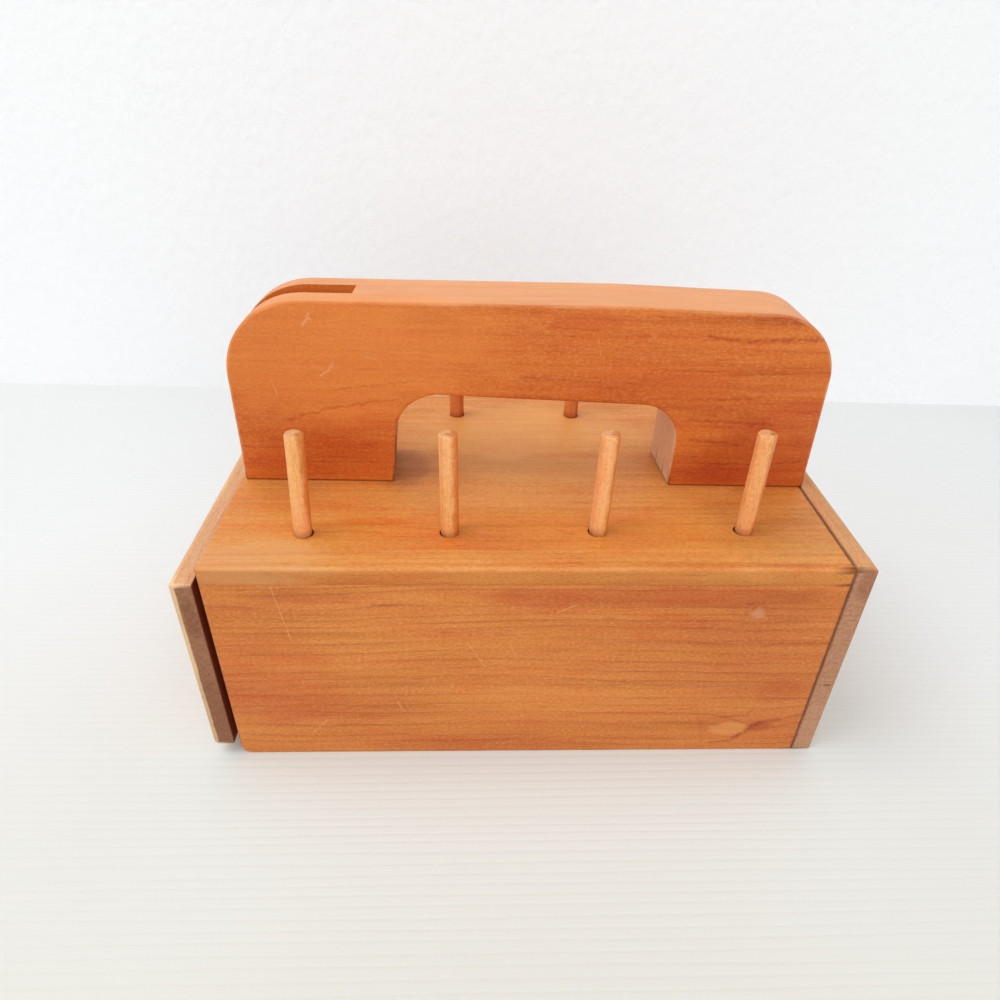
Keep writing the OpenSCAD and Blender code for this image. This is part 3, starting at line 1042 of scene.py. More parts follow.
@dataclass
class CarryingHandle:
    """The tall handle: two plates with a core between them, and its screws."""

    shell: BoxShell
    plate: float = 10.2 * MM
    core: float = 11.0 * MM
    tall: float = 82.4 * MM
    drop: float = 2.9 * MM
    bend_at: float = 165 * MM
    left_inset: float = 2.6 * MM
    left_top_inset: float = 3.6 * MM
    right_over: float = 1.2 * MM
    right_top_inset: float = 0.6 * MM
    left_radius: float = 33 * MM
    right_radius: float = 29 * MM
    skew: float = -0.98
    pocket_end: float = 55.8 * MM
    hole_left: float = 69.2 * MM
    hole_left_top: float = 73.6 * MM
    hole_right: float = 193.4 * MM
    hole_left_tall: float = 43.4 * MM
    hole_right_tall: float = 39.2 * MM
    hole_left_radius: float = 18.5 * MM
    hole_right_radius: float = 16.5 * MM
    saw_lean: float = 0.075
    body: str = "case"

    @property
    def turn(self) -> Matrix:
        """Places the handle on the box, slightly out of square."""
        skew = Matrix.Rotation(math.radians(self.skew), 4, "Z")
        return Matrix.Translation((0.0, 0.0, self.shell.height)) @ skew

    def _outline(self, start: float) -> list[tuple[float, float, float]]:
        """The corners of a layer with their radii.

        Args:
            start: Length from the box's left end at which the layer begins, 0 for a full one.

        Returns:
            Triples of x, z and radius.
        """
        left, right = self.shell.left, self.shell.right
        hole = [
            (left + self.hole_right, 0.0, 0.0),
            (left + self.hole_right, self.hole_right_tall, self.hole_right_radius),
            (left + self.hole_left_top, self.hole_left_tall, self.hole_left_radius),
            (left + self.hole_left, 0.0, 0.0),
        ]
        ends = [
            (left + self.bend_at, self.tall, 0.0),
            (right - self.right_top_inset, self.tall - self.drop, self.right_radius),
            (right + self.right_over, 0.0, 0.0),
        ]
        if start:
            return [*hole, (left + start, 0.0, 0.0), (left + start, self.tall, 0.0), *ends]
        corner = (left + self.left_top_inset, self.tall, self.left_radius)
        return [*hole, (left + self.left_inset, 0.0, 0.0), corner, *ends]

    @staticmethod
    def _tangent(corners: Sequence[tuple[float, float, float]], index: int) -> float:
        """How far from a corner its arc begins."""
        here = Vector(corners[index][:2])
        before = Vector(corners[index - 1][:2]) - here
        after = Vector(corners[(index + 1) % len(corners)][:2]) - here
        angle = before.angle(after)
        return corners[index][2] / math.tan(angle / 2.0) * math.sin(angle)

    def _in_hole(self, spot: Vector) -> bool:
        """Whether a spot lies on the rim of the hand hole."""
        left, right = self.shell.left + self.hole_left, self.shell.left + self.hole_right
        low = left - 2.0 * MM < spot.x < right + 2.0 * MM
        return low and spot.z < self.hole_left_tall + 2.0 * MM

    def _in_shade(self, spot: Vector) -> bool:
        """Whether a spot lies on the left side of the hand hole, which is darkened as painted shade."""
        lean = (self.hole_left_top - self.hole_left) / self.hole_left_tall
        side = self.shell.left + self.hole_left + lean * spot.z - 0.3 * MM
        return side < spot.x < side + 20.0 * MM and spot.z < 34.0 * MM

    def _lean_cut(self, shop: Workshop) -> None:
        """Leans the sides of the hand hole, which was sawn a little out of square."""
        left = self.shell.left + self.hole_left
        right = self.shell.left + self.hole_right
        front = -self.core / 2.0 - self.plate
        for vert in shop.bm.verts:
            at_right = right - self.hole_right_radius - 1.5 * MM < vert.co.x < right + 1.8 * MM
            at_left = left - 1.8 * MM < vert.co.x < left + self.hole_left_radius + 6.0 * MM
            low = vert.co.z < (self.hole_right_tall if at_right else self.hole_left_tall) + 1.5 * MM
            if (at_right or at_left) and low:
                vert.co.x -= self.saw_lean * (vert.co.y - front)

    def _saw(self, layer: Layer) -> bpy.types.Object:
        """Saws, rounds and dresses one layer.

        Args:
            layer: The layer.

        Returns:
            The piece.
        """
        shop = Workshop()
        corners = self._outline(layer.start)
        shop.plate([(x, z) for x, z, _ in corners], layer.near, layer.far)
        for index, (x, z, radius) in enumerate(corners):
            if radius:
                spot = Vector((x, z))
                edges = shop.sharp_edges(
                    lambda middle, way: abs(way.y) > 0.9
                    and (Vector((middle.x, middle.z)) - spot).length < 1e-5
                )
                shop.round_over(edges, self._tangent(corners, index), 22)
        for face in shop.bm.faces:
            face[shop.arris] = 0.0
        for y, rim in ((layer.near, layer.near_rim), (layer.far, layer.far_rim)):
            edges = shop.sharp_edges(lambda middle, way: abs(middle.y - y) < SNAP and abs(way.y) < 0.1)
            shop.round_over(edges, rim, 3, 0.6 if rim > 0.5 * MM else 0.0)
        corner_edges = shop.sharp_edges(lambda middle, way: abs(way.y) > 0.9)
        shop.round_over(corner_edges, 0.4 * MM, 2, 0.2)
        shop.line_faces(0.9 * MM)
        shop.cross_cuts(0, self.shell.left, self.shell.right + self.right_over, 36)
        shop.cross_cuts(2, 0.0, self.tall, 9)
        for vert in shop.bm.verts:
            if vert.co.z < 1.2 * MM:
                vert[shop.wear] = 0.0
                vert[shop.grime_and_shade] = 0.6 if vert.co.z < 0.6 * MM else 0.0
            elif self._in_hole(vert.co):
                vert[shop.wear] *= 0.35
            # Painted shade on the left side of the hand hole, darker towards the bottom.
            if self._in_shade(vert.co):
                vert[shop.wear] = 0.0
                vert[shop.grime_and_shade] = 0.85 * min((34.0 * MM - vert.co.z) / (10.0 * MM), 1.0)
        self._lean_cut(shop)
        shop.weather(0.12 * MM, layer.seed)
        bmesh.ops.transform(shop.bm, matrix=self.turn, verts=shop.bm.verts)
        return shop.finish(f"{layer.name}_board", [layer.wood.material()])

    def build(self) -> None:
        """Builds the three layers and the screws."""
        half = self.core / 2.0
        outer = half + self.plate
        seam, rim = 0.12 * MM, 1.0 * MM
        layers = (
            Layer("handle_front_plate", -outer, -half, 0.0, rim, seam, HANDLE_WOOD, 7.0),
            Layer("handle_rear_plate", half, outer, 0.0, seam, rim, HANDLE_REAR_WOOD, 8.0),
            Layer("handle_core", -half, half, self.pocket_end, seam, seam, HANDLE_CORE_WOOD, 9.0),
        )
        for layer in layers:
            settle(self._saw(layer), self.body, "handle_wood", layer.name)
        self._screws()

    def _screws(self) -> None:
        """Turns the four screws that hold the legs, their heads under the top panel."""
        shop = Workshop()
        left = self.shell.left + self.left_inset + 30 * MM
        right = self.shell.right + self.right_over - 30 * MM
        for x in (left, right):
            for side in (-1.0, 1.0):
                y = side * (self.core + self.plate) / 2.0
                part = Workshop()
                place = self.turn @ Matrix.Translation((x, y, -self.shell.panel))
                part.turned(countersunk_profile(2.0 * MM, 4.0 * MM, 2.6 * MM, 32 * MM), 32, place)
                scrap = bpy.data.meshes.new("scrap")
                part.bm.to_mesh(scrap)
                part.bm.free()
                shop.bm.from_mesh(scrap)
                bpy.data.meshes.remove(scrap)
        screws = shop.finish("handle_screws_set", [Steel().material()])
        settle(screws, self.body, "steel", "handle_screws")


def countersunk_profile(
    shank: float, head: float, head_tall: float, length: float
) -> list[tuple[float, float]]:
    """The profile of a countersunk screw with a drive recess, pointing up.

    Args:
        shank: Radius of the shank.
        head: Radius of the head.
        head_tall: Height of the cone.
        length: Whole length.

    Returns:
        Pairs of radius and height.
    """
    return [
        (0.0, 0.9 * MM),
        (head * 0.28, 0.8 * MM),
        (head * 0.36, 0.05 * MM),
        (head * 0.93, 0.05 * MM),
        (head * 0.995, 0.25 * MM),
        (shank, head_tall),
        (shank, length - 3.0 * MM),
        (0.4 * MM, length - 0.1 * MM),
        (0.0, length),
    ]


@dataclass
class SpoolPegs:
    """The eight pegs for spools, and the holes that they stand in."""

    shell: BoxShell
    thick: float = 7.4 * MM
    tall: float = 45.9 * MM
    tenon: float = 7.0 * MM
    first: float = 36.2 * MM
    pitch: float = 60.3 * MM
    front_inset: float = 22.9 * MM
    front_drift: float = 0.9 * MM
    rear_inset: float = 24.2 * MM
    shifts: tuple[float, ...] = (0.0, -1.0 * MM, -0.6 * MM, 0.0)
    leans: tuple[float, ...] = (3.0, 0.0, 1.0, 0.0)
    mouths: tuple[tuple[float, float], ...] = ((0.5, 0.35), (-0.5, 0.3), (-0.4, 0.3), (-0.4, 0.3))
    body: str = "case"

    def places(self) -> list[tuple[str, Matrix, tuple[float, float]]]:
        """Where the pegs stand.

        Returns:
            For each peg the node's name, its matrix and how far its hole's mouth is worn aside.
        """
        half = self.shell.depth / 2.0
        top = self.shell.height
        found = []
        for i, shift in enumerate(self.shifts):
            x = self.shell.left + self.first + i * self.pitch + shift
            front = -half + self.front_inset + i * self.front_drift
            lean = Matrix.Rotation(math.radians(self.leans[i]), 4, "Y")
            mouth = self.mouths[i]
            found.append((f"peg_front_{i + 1}", Matrix.Translation((x, front, top)) @ lean, mouth))
            rear = Matrix.Translation((x, half - self.rear_inset, top))
            found.append((f"peg_rear_{i + 1}", rear, (0.2, 0.1)))
        return found

    def hole_cutters(self) -> list[bpy.types.Object]:
        """Makes the shapes of the holes with their worn mouths, whose walls are coloured nearly black as
        painted shade.
        """
        # Painted shade: the walls that the cutters leave in the holes get a nearly black finish.
        hole_shade_colour = (0.18, 0.06, 0.02)
        hole_shade_finish = replace(
            PEG_WOOD, name="hole_shade_wood", pale=(0.26, 0.09, 0.03), deep=hole_shade_colour, end=hole_shade_colour, wear_share=0.0
        ).material()
        cutters = []
        bore = self.tenon / 2.0 + 0.05 * MM
        for name, matrix, aside in self.places():
            shop = Workshop()
            profile = [
                (0.0, -12 * MM),
                (bore, -12 * MM),
                (bore, -1.4 * MM),
                (bore + 0.1 * MM, -0.6 * MM),
                (bore + 0.3 * MM, 0.05 * MM),
                (bore + 0.3 * MM, 2 * MM),
                (0.0, 2 * MM),
            ]
            shop.turned(profile, 40, Matrix.Identity(4))
            for vert in shop.bm.verts:
                if vert.co.z > -1.0 * MM:
                    vert.co += Vector((aside[0] * MM, aside[1] * MM, 0.0))
            bmesh.ops.transform(shop.bm, matrix=matrix, verts=shop.bm.verts)
            cutters.append(shop.finish(f"{name}_cutter", [hole_shade_finish]))
        return cutters

    def _profile(self) -> list[tuple[float, float]]:
        """The profile of a peg, from the foot of its tenon to its sawn top."""
        radius, tenon = self.thick / 2.0, self.tenon / 2.0
        foot = self.shell.panel - 0.6 * MM
        low, high = 0.8 * MM, self.tall - 0.75 * MM
        wall = [(radius, low + (high - low) * step / 14.0) for step in range(15)]
        return [
            (0.0, -foot),
            (tenon * 0.96, -foot),
            (tenon, -foot + 0.3 * MM),
            (tenon, 0.35 * MM),
            *wall,
            (radius - 0.12 * MM, self.tall - 0.45 * MM),
            (radius - 0.5 * MM, self.tall - 0.1 * MM),
            (radius - 0.75 * MM, self.tall - 0.02 * MM),
            (radius * 0.4, self.tall),
            (0.0, self.tall),
        ]

    def _painted_shade(self, node: str, middle: Vector) -> list[Patch]:
        """Painted shade that darkens a rear peg, which stands behind the handle in its shade.

        Args:
            node: The peg's node.
            middle: The middle of its top.

        Returns:
            One patch for a rear peg, none for a front one.
        """
        if "rear" not in node:
            return []
        return [Patch(tuple(middle), (EVERYWHERE, EVERYWHERE, EVERYWHERE), (0.80, 0.56, 0.40), 0.85, 0.0)]

    def build(self) -> None:
        """Turns and dresses the pegs."""
        for i, (node, matrix, _) in enumerate(self.places()):
            shop = Workshop()
            shop.turned(self._profile(), 40, Matrix.Identity(4))
            seed = Vector((i * 3.1, i * 1.7, 0.0))
            for vert in shop.bm.verts:
                rim = 1.0 - abs(vert.co.z - self.tall + 0.5 * MM) / (0.6 * MM)
                vert[shop.wear] = min(max(rim, 0.0), 1.0) * 0.4
                vert[shop.grime_and_shade] = 0.5 * min(max(1.0 - vert.co.z / (4.5 * MM), 0.0), 1.0)
                out = Vector((vert.co.x, vert.co.y, 0.0))
                if vert.co.z > 1.0 * MM and out.length > 1.0 * MM:
                    flats = 0.07 * MM * math.cos(8.0 * math.atan2(out.y, out.x) + i)
                    bow = noise.noise(vert.co * 70.0 + seed) * 0.08 * MM
                    vert.co -= out.normalized() * max(0.08 * MM + bow + flats, 0.0)
            bmesh.ops.transform(shop.bm, matrix=matrix, verts=shop.bm.verts)
            middle = matrix @ Vector((0.0, 0.0, self.tall))
            knot = (middle.x + (1.2 - 0.7 * (i % 3)) * MM, middle.y - 1.0 * MM, middle.z)
            wood = replace(
                PEG_WOOD,
                name=f"{node}_wood",
                shift=0.31 * i,
                pith=(middle.x + 2 * MM, middle.y - 3 * MM),
                patches=(
                    Patch(knot, (1.1 * MM, 0.8 * MM, 1.0 * MM), (0.5, 0.36, 0.28), 0.6),
                    # Painted shade on the right side of each peg, away from the lamp.
                    Patch((middle.x + 4 * MM, middle.y, middle.z - 23 * MM),
                          (4 * MM, 5 * MM, 60 * MM), (0.78, 0.48, 0.22), 0.9),
                    # Painted shade on the rear pegs.
                    *self._painted_shade(node, middle),
                ),
            )
            peg = shop.finish(f"{node}_dowel", [wood.material()])
            settle(peg, self.body, "peg_wood", node)


@dataclass
class Drawer:
    """The drawer that leaves at the left end, with its front, knob and inner boards."""

    shell: BoxShell
    ajar: float = 2.7 * MM
    front: float = 9.6 * MM
    front_low: float = 5.6 * MM
    front_top: float = 99.2 * MM
    side: float = 6.4 * MM
    side_tall: float = 80 * MM
    side_gap: float = 0.8 * MM
    tail_gap: float = 6 * MM
    base: float = 3.2 * MM
    base_up: float = 5 * MM
    rest: float = 0.3 * MM
    knob: float = 25 * MM
    knob_long: float = 22 * MM
    body: str = "drawer"

    @property
    def inner(self) -> float:
        """X of the inner side of the drawer front."""
        return self.shell.left - self.ajar

    @property
    def middle(self) -> float:
        """Height of the knob."""
        return (self.front_low + self.front_top) / 2.0

    def _front(self) -> None:
        """The drawer front."""
        half = self.shell.depth / 2.0
        soft = Arris(2.4 * MM, 1.0)
        board = Board(
            "drawer_front_board",
            (self.inner - self.front, -half, self.front_low),
            (self.inner, half, self.front_top),
            DRAWER_FRONT_WOOD,
            {
                "-x-y": soft,
                "-x+y": soft,
                "-x+z": Arris(2.0 * MM, 0.5),
                "-x-z": Arris(3.0 * MM, 0.3),
                "+x-z": Arris(1.6 * MM, 0.2),
                "-y-z": Arris(1.6 * MM, 0.3),
                "-y+z": Arris(1.0 * MM, 0.4),
                "+x+z": Arris(0.6 * MM, 0.35),
            },
            seed=11.0,
        ).build()
        settle(board, self.body, "end_wood", "drawer_front")

    def _tray(self) -> None:
        """The two sides, the back and the bottom of the drawer."""
        tail = self.shell.right - self.tail_gap
        wide = self.shell.depth - 2.0 * (self.shell.panel + self.side_gap)
        low = self.shell.floor + self.rest
        high = low + self.side_tall
        inset = wide / 2.0 - self.side
        base = low + self.base_up
        boards = (
            ("drawer_side_front", (self.inner, -wide / 2.0, low), (tail, -inset, high), Grain.LENGTH),
            ("drawer_side_rear", (self.inner, inset, low), (tail, wide / 2.0, high), Grain.LENGTH),
            ("drawer_back", (tail - self.side, -inset, low), (tail, inset, high), Grain.DEPTH),
            (
                "drawer_bottom",
                (self.inner, -inset, base),
                (tail - self.side, inset, base + self.base),
                Grain.LENGTH,
            ),
        )
        for i, (name, near, far, grain) in enumerate(boards):
            wood = replace(INNER_WOOD, name=f"{name}_wood", shift=0.31 * i, grain=grain)
            top = {code: Arris(0.6 * MM, 0.5) for code in ("-y+z", "+y+z", "-x+z", "+x+z")}
            board = Board(f"{name}_board", near, far, wood, top, seed=12.0 + i).build()
            settle(board, self.body, "inner_wood", name)

    def _knob(self) -> None:
        """Turns the knob on the drawer front."""
        shop = Workshop()
        r, tall = self.knob / 2.0, self.knob_long
        face = self.inner - self.front
        matrix = Matrix.Translation((face, 0.0, self.middle)) @ Matrix.Rotation(-math.pi / 2.0, 4, "Y")
        foot = [(7.2, 0.0), (7.5, 0.5), (7.3, 1.6), (6.5, 3.6), (6.0, 5.8), (6.0, 8.0), (6.9, 9.8)]
        crown = [
            (0.8, 0.545), (0.93, 0.61), (0.99, 0.68), (0.995, 0.75), (0.93, 0.83), (0.78, 0.91),
            (0.52, 0.965), (0.25, 0.99), (0.0, 0.998),
        ]
        profile = [(0.0, 0.0), *[(a * MM, b * MM) for a, b in foot], *[(r * a, tall * b) for a, b in crown]]
        shop.turned(profile, 48, matrix)
        knob = shop.finish("drawer_knob_turned", [KNOB_WOOD.material()])
        settle(knob, self.body, "end_wood", "drawer_knob")

    def _knob_screw(self) -> None:
        """Turns the knob's pan head screw."""
        shop = Workshop()
        place = Matrix.Translation((self.inner + 2.0 * MM, 0.0, self.middle))
        matrix = place @ Matrix.Rotation(-math.pi / 2.0, 4, "Y")
        head = [(0.0, 1.1), (0.9, 1.0), (1.2, 0.1), (2.6, 0.2), (3.3, 0.8), (3.5, 1.5), (3.5, 2.0)]
        shank = [(1.8, 2.0), (1.8, 22.0), (0.0, 24.4)]
        shop.turned([(a * MM, b * MM) for a, b in head + shank], 32, matrix)
        steel = replace(Steel(), name="knob_screw_steel").material()
        screw = shop.finish("drawer_knob_screw_turned", [steel])
        settle(screw, self.body, "steel", "drawer_knob_screw")

    def build(self) -> None:
        """Builds all pieces of the drawer."""
        self._front()
        self._tray()
        self._knob()
        self._knob_screw()


# Woods of the pieces ------------------------------------------------------------------------


EVERYWHERE = 0.4
# Painted shade: the deep colour of board ends that look into the drawer's gap.
GAP_SHADE_TINT = (0.32, 0.06, 0.025)


def gap_shade_end(x: float) -> Patch:
    """Painted shade on the face of a board end at x, which looks into the drawer's gap."""
    return Patch((x, 0.0, 0.05), (0.9 * MM, EVERYWHERE, EVERYWHERE), GAP_SHADE_TINT, 1.0, 0.0)


TOP_WOOD = Wood(
    "top_wood",
    pale=(0.76, 0.33, 0.080),
    deep=(0.66, 0.225, 0.040),
    line=(0.68, 0.48, 0.30),
    blush=(0.64, 0.18, 0.035),
    worn=(0.84, 0.42, 0.17),
    end=(0.55, 0.26, 0.12),
    pith=(-0.35, 0.06),
    ring=3.6 * MM,
    line_share=0.6,
    blush_share=0.35,
    shift=0.11,
    patches=(
        Patch((-0.005, -0.052, 0.107), (0.10, 0.016, 0.02), (1.0, 0.84, 0.55), 0.7),
        Patch((-0.108, -0.070, 0.107), (0.034, 0.013, 0.02), (0.72, 0.40, 0.17), 0.42, 1.5, False),
        Patch((0.105, -0.048, 0.107), (0.035, 0.030, 0.02), (0.86, 0.88, 0.88), 0.9),
        Patch((-0.06, -0.046, 0.107), (0.022, 0.003, 0.01), (0.98, 0.70, 0.55), 0.7),
        Patch((0.05, -0.036, 0.107), (0.02, 0.0025, 0.01), (0.9, 0.72, 0.6), 0.6),
        Patch((-0.1035, -0.02, 0.107), (0.02, 0.012, 0.01), (0.84, 0.80, 0.85), 0.5),
        # Painted light on the top panel behind the handle and under its arch, where the handle shades it.
        Patch((0.0, 0.035, 0.107), (0.070, 0.035, 0.02), (0.86, 0.44, 0.13), 0.42, 0.6, False),
        Patch((0.005, 0.000, 0.107), (0.050, 0.016, 0.02), (0.84, 0.44, 0.15), 0.28, 0.6, False),
        # Painted shadow of the handle's left leg on the top panel under the arch.
        Patch((-0.0545, -0.004, 0.107), (0.013, 0.020, 0.02), (0.70, 0.62, 0.66), 0.75, 0.5),
        Patch((0.112, -0.020, 0.107), (0.018, 0.006, 0.02), (0.84, 0.66, 0.55), 0.6),
        Patch((0.110, -0.046, 0.107), (0.020, 0.004, 0.02), (0.86, 0.70, 0.58), 0.6),
        Patch((0.0, -0.0786, 0.103), (EVERYWHERE, 1.2 * MM, EVERYWHERE), (0.84, 0.73, 0.62), 1.0, 0.0),
        gap_shade_end(-0.1275),
    ),
)
FRONT_WOOD = Wood(
    "front_wood",
    pale=(0.72, 0.255, 0.052),
    deep=(0.57, 0.155, 0.027),
    line=(0.60, 0.42, 0.28),
    blush=(0.58, 0.125, 0.026),
    worn=(0.86, 0.44, 0.18),
    pith=(0.02, -0.28),
    ring=5.6 * MM,
    line_share=0.95,
    streak_share=0.7,
    wave=6.5 * MM,
    shift=0.25,
    swirls=(Swirl((0.107, -0.078, 0.019), (0.016, 0.02, 0.009), 7 * MM),),
    patches=(
        Patch((0.055, -0.078, 0.0935), (0.085, 0.01, 0.0055), (0.82, 0.62, 0.55), 0.75),
        Patch((0.106, -0.078, 0.0880), (0.024, 0.01, 0.010), (0.85, 0.74, 0.70), 0.6, 1.2),
        Patch((-0.085, -0.078, 0.0940), (0.030, 0.01, 0.0040), (0.80, 0.68, 0.68), 0.6),
        Patch((-0.105, -0.078, 0.045), (0.030, 0.01, 0.030), (0.96, 0.80, 0.80), 0.7),
        Patch((0.0945, -0.078, 0.0150), (0.010, 0.01, 0.0055), (0.78, 0.34, 0.095), 0.5, 0.9, False),
        Patch((0.1085, -0.078, 0.0165), (0.007, 0.01, 0.0035), (0.78, 0.52, 0.42), 0.7, 1.0),
        Patch((0.1130, -0.078, 0.0390), (0.012, 0.01, 0.008), (0.90, 0.66, 0.66), 0.6),
        Patch((0.0934, -0.078, 0.084), (0.0036, 0.01, 0.0034), (0.66, 0.40, 0.27), 0.36, 1.8, False),
        gap_shade_end(-0.1275),
    ),
    veins=strokes(
        (0.0793, 0.0225, 0.0838, 0.0060, 1.4, 0.3),
        (0.0880, 0.0050, 0.0965, 0.0068, 1.4, 0.7),
        (0.0965, 0.0068, 0.1015, 0.0118, 2.0, 1.0),
        (0.1015, 0.0118, 0.1082, 0.0191, 2.2, 1.0),
        (0.1082, 0.0191, 0.1160, 0.0208, 1.6, 0.8),
        (0.0892, 0.0226, 0.1012, 0.0238, 0.8, 0.6),
        (0.1012, 0.0238, 0.1030, 0.0285, 0.7, 0.5),
        (-0.1240, 0.0830, -0.0900, 0.0815, 0.7, 0.45),
        (-0.1200, 0.0620, -0.0880, 0.0635, 0.7, 0.45),
    ),
    scratches=strokes(
        (-0.0998, 0.0985, -0.0957, 0.0717, 0.45, 0.45),
        (-0.0937, 0.0134, -0.0865, 0.0220, 0.5, 0.5),
        (-0.0240, 0.0688, -0.0169, 0.0548, 0.5, 0.45),
        (-0.0068, 0.0687, -0.0031, 0.0589, 0.4, 0.35),
        (-0.0546, 0.0329, -0.0525, 0.0290, 0.7, 0.45),
        (0.0115, 0.0851, 0.0192, 0.0893, 0.5, 0.6),
    ),
)
REAR_WOOD = replace(
    FRONT_WOOD, name="rear_wood", shift=0.7, scratches=(), veins=(), patches=(gap_shade_end(-0.1275),), swirls=()
)
END_WOOD = Wood(
    "end_wood",
    grain=Grain.DEPTH,
    pale=(0.70, 0.36, 0.15),
    deep=(0.58, 0.25, 0.085),
    line=(0.62, 0.48, 0.34),
    blush=(0.56, 0.22, 0.08),
    end=(0.47, 0.235, 0.140),
    end_pores=0.55,
    worn=(0.74, 0.43, 0.21),
    pith=(0.10, -0.22),
    ring=3.8 * MM,
    line_share=0.6,
    shift=0.61,
    patches=(
        Patch((0.1325, -0.078, 0.043), (0.0022, 0.004, 0.0007), (0.4, 0.3, 0.25), 0.7, 0.3),
        Patch((0.1335, -0.078, 0.100), (0.005, 0.004, 0.009), (0.72, 0.60, 0.58), 0.7),
        Patch((0.1320, -0.078, 0.012), (0.006, 0.004, 0.022), (0.58, 0.31, 0.20), 0.25, 0.9, False),
    ),
)
DRAWER_FRONT_WOOD = replace(
    END_WOOD,
    name="drawer_front_wood",
    shift=0.53,
    pale=(0.79, 0.44, 0.235),
    deep=(0.68, 0.33, 0.15),
    # Deep brown end grain of the front edge, made deeper as painted shade.
    end=(0.262, 0.110, 0.056),
    end_pores=0.65,
    worn=(0.86, 0.60, 0.34),
    patches=(
        gap_shade_end(-0.1292),
        Patch((-0.135, -0.078, 0.020), (0.008, 0.004, 0.035), (0.80, 0.72, 0.70), 0.8),
        Patch((-0.133, -0.078, 0.082), (0.003, 0.004, 0.012), (0.72, 0.60, 0.60), 0.6),
    ),
)
KNOB_WOOD = replace(END_WOOD, name="knob_wood", shift=0.2, patches=())
HANDLE_WOOD = Wood(
    "handle_wood",
    pale=(0.74, 0.215, 0.032),
    deep=(0.57, 0.112, 0.011),
    line=(0.55, 0.32, 0.20),
    blush=(0.52, 0.085, 0.012),
    worn=(0.80, 0.40, 0.195),
    # Pale end grain, made paler still as painted light on the sawn sides of the hand hole.
    end=(0.86, 0.58, 0.36),
    pith=(-0.06, 0.42),
    ring=4.6 * MM,
    line_share=0.5,
    blush_share=0.6,
    streak_share=1.0,
    # Painted light on the handle's upward faces.
    top_light_share=0.75,
    end_pores=0.15,
    stroke_bend=3.0 * MM,
    shift=0.37,
    patches=(
        Patch((-0.080, -0.016, 0.170), (0.078, 0.03, 0.040), (0.85, 0.290, 0.058), 0.42, 0.7, False),
        Patch((0.0245, -0.0185, 0.1830), (0.020, 0.006, 0.0055), (0.88, 0.56, 0.50), 0.5, 1.8),
        Patch((-0.0390, -0.0185, 0.1820), (0.022, 0.006, 0.009), (0.80, 0.68, 0.68), 0.45, 1.3),
        Patch((0.060, -0.0185, 0.1560), (0.050, 0.006, 0.006), (0.86, 0.66, 0.60), 0.5),
        Patch((0.105, -0.016, 0.117), (0.040, 0.02, 0.026), (0.76, 0.48, 0.36), 0.75),
        Patch((-0.090, -0.016, 0.117), (0.036, 0.02, 0.020), (0.86, 0.64, 0.52), 0.7),
    ),
    veins=strokes(
        (0.0730, 0.1778, 0.0875, 0.1759, 1.5, 0.8),
        (0.0875, 0.1759, 0.1056, 0.1771, 1.9, 0.9),
        (0.1056, 0.1771, 0.1197, 0.1774, 1.5, 0.8),
        (-0.0027, 0.1587, 0.0307, 0.1575, 1.0, 0.5),
        (-0.1026, 0.1375, -0.0850, 0.1426, 0.9, 0.6),
        (-0.0850, 0.1426, -0.0656, 0.1466, 0.9, 0.65),
        (-0.0656, 0.1466, -0.0550, 0.1477, 0.8, 0.5),
        (-0.0800, 0.1520, -0.0500, 0.1560, 0.8, 0.45),
        (0.0696, 0.1500, 0.0991, 0.1514, 0.8, 0.5),
        (0.0711, 0.1406, 0.1062, 0.1388, 1.4, 0.7),
        (0.0728, 0.1308, 0.0952, 0.1287, 1.4, 0.7),
        (0.0794, 0.1183, 0.1239, 0.1206, 1.0, 0.6),
        (-0.1209, 0.1174, -0.0635, 0.1174, 0.9, 0.5),
        (-0.1100, 0.1280, -0.0700, 0.1300, 0.8, 0.45),
    ),
    scratches=strokes(
        (-0.0899, 0.1797, -0.0866, 0.1845, 1.0, 0.6),
        (-0.0885, 0.1818, -0.0868, 0.1824, 0.9, 0.5),
        (-0.0852, 0.1582, -0.0795, 0.1625, 1.0, 0.55),
        (-0.0812, 0.1615, -0.0795, 0.1640, 0.9, 0.5),
        (-0.0660, 0.1668, -0.0600, 0.1650, 0.5, 0.35),
        (-0.1060, 0.1560, -0.1040, 0.1490, 0.5, 0.3),
        (0.0280, 0.1760, 0.0295, 0.1700, 0.5, 0.35),
    ),
)
HANDLE_REAR_WOOD = replace(
    HANDLE_WOOD, name="handle_rear_wood", shift=0.43, scratches=(), veins=(), patches=()
)
HANDLE_CORE_WOOD = replace(HANDLE_REAR_WOOD, name="handle_core_wood", shift=0.81)
PEG_WOOD = Wood(
    "peg_wood",
    grain=Grain.UPRIGHT,
    pale=(0.99, 0.53, 0.235),
    deep=(0.88, 0.39, 0.135),
    line=(0.66, 0.46, 0.30),
    blush=(0.80, 0.29, 0.085),
    worn=(0.97, 0.62, 0.35),
    end=(0.72, 0.37, 0.17),
    pith=(0.0, -0.02),
    ring=2.2 * MM,
    line_share=0.4,
    blush_share=0.2,
)
INNER_WOOD = Wood(
    "inner_wood",
    pale=(0.72, 0.42, 0.2),
    deep=(0.6, 0.31, 0.13),
    line=(0.66, 0.5, 0.36),
    blush=(0.6, 0.28, 0.11),
    worn=(0.8, 0.55, 0.32),
    end=(0.5, 0.3, 0.16),
    pith=(0.02, -0.2),
    ring=4.0 * MM,
    line_share=0.5,
    rough=0.62,
)


# Table, wall, light and camera ----------------------------------------------------------------


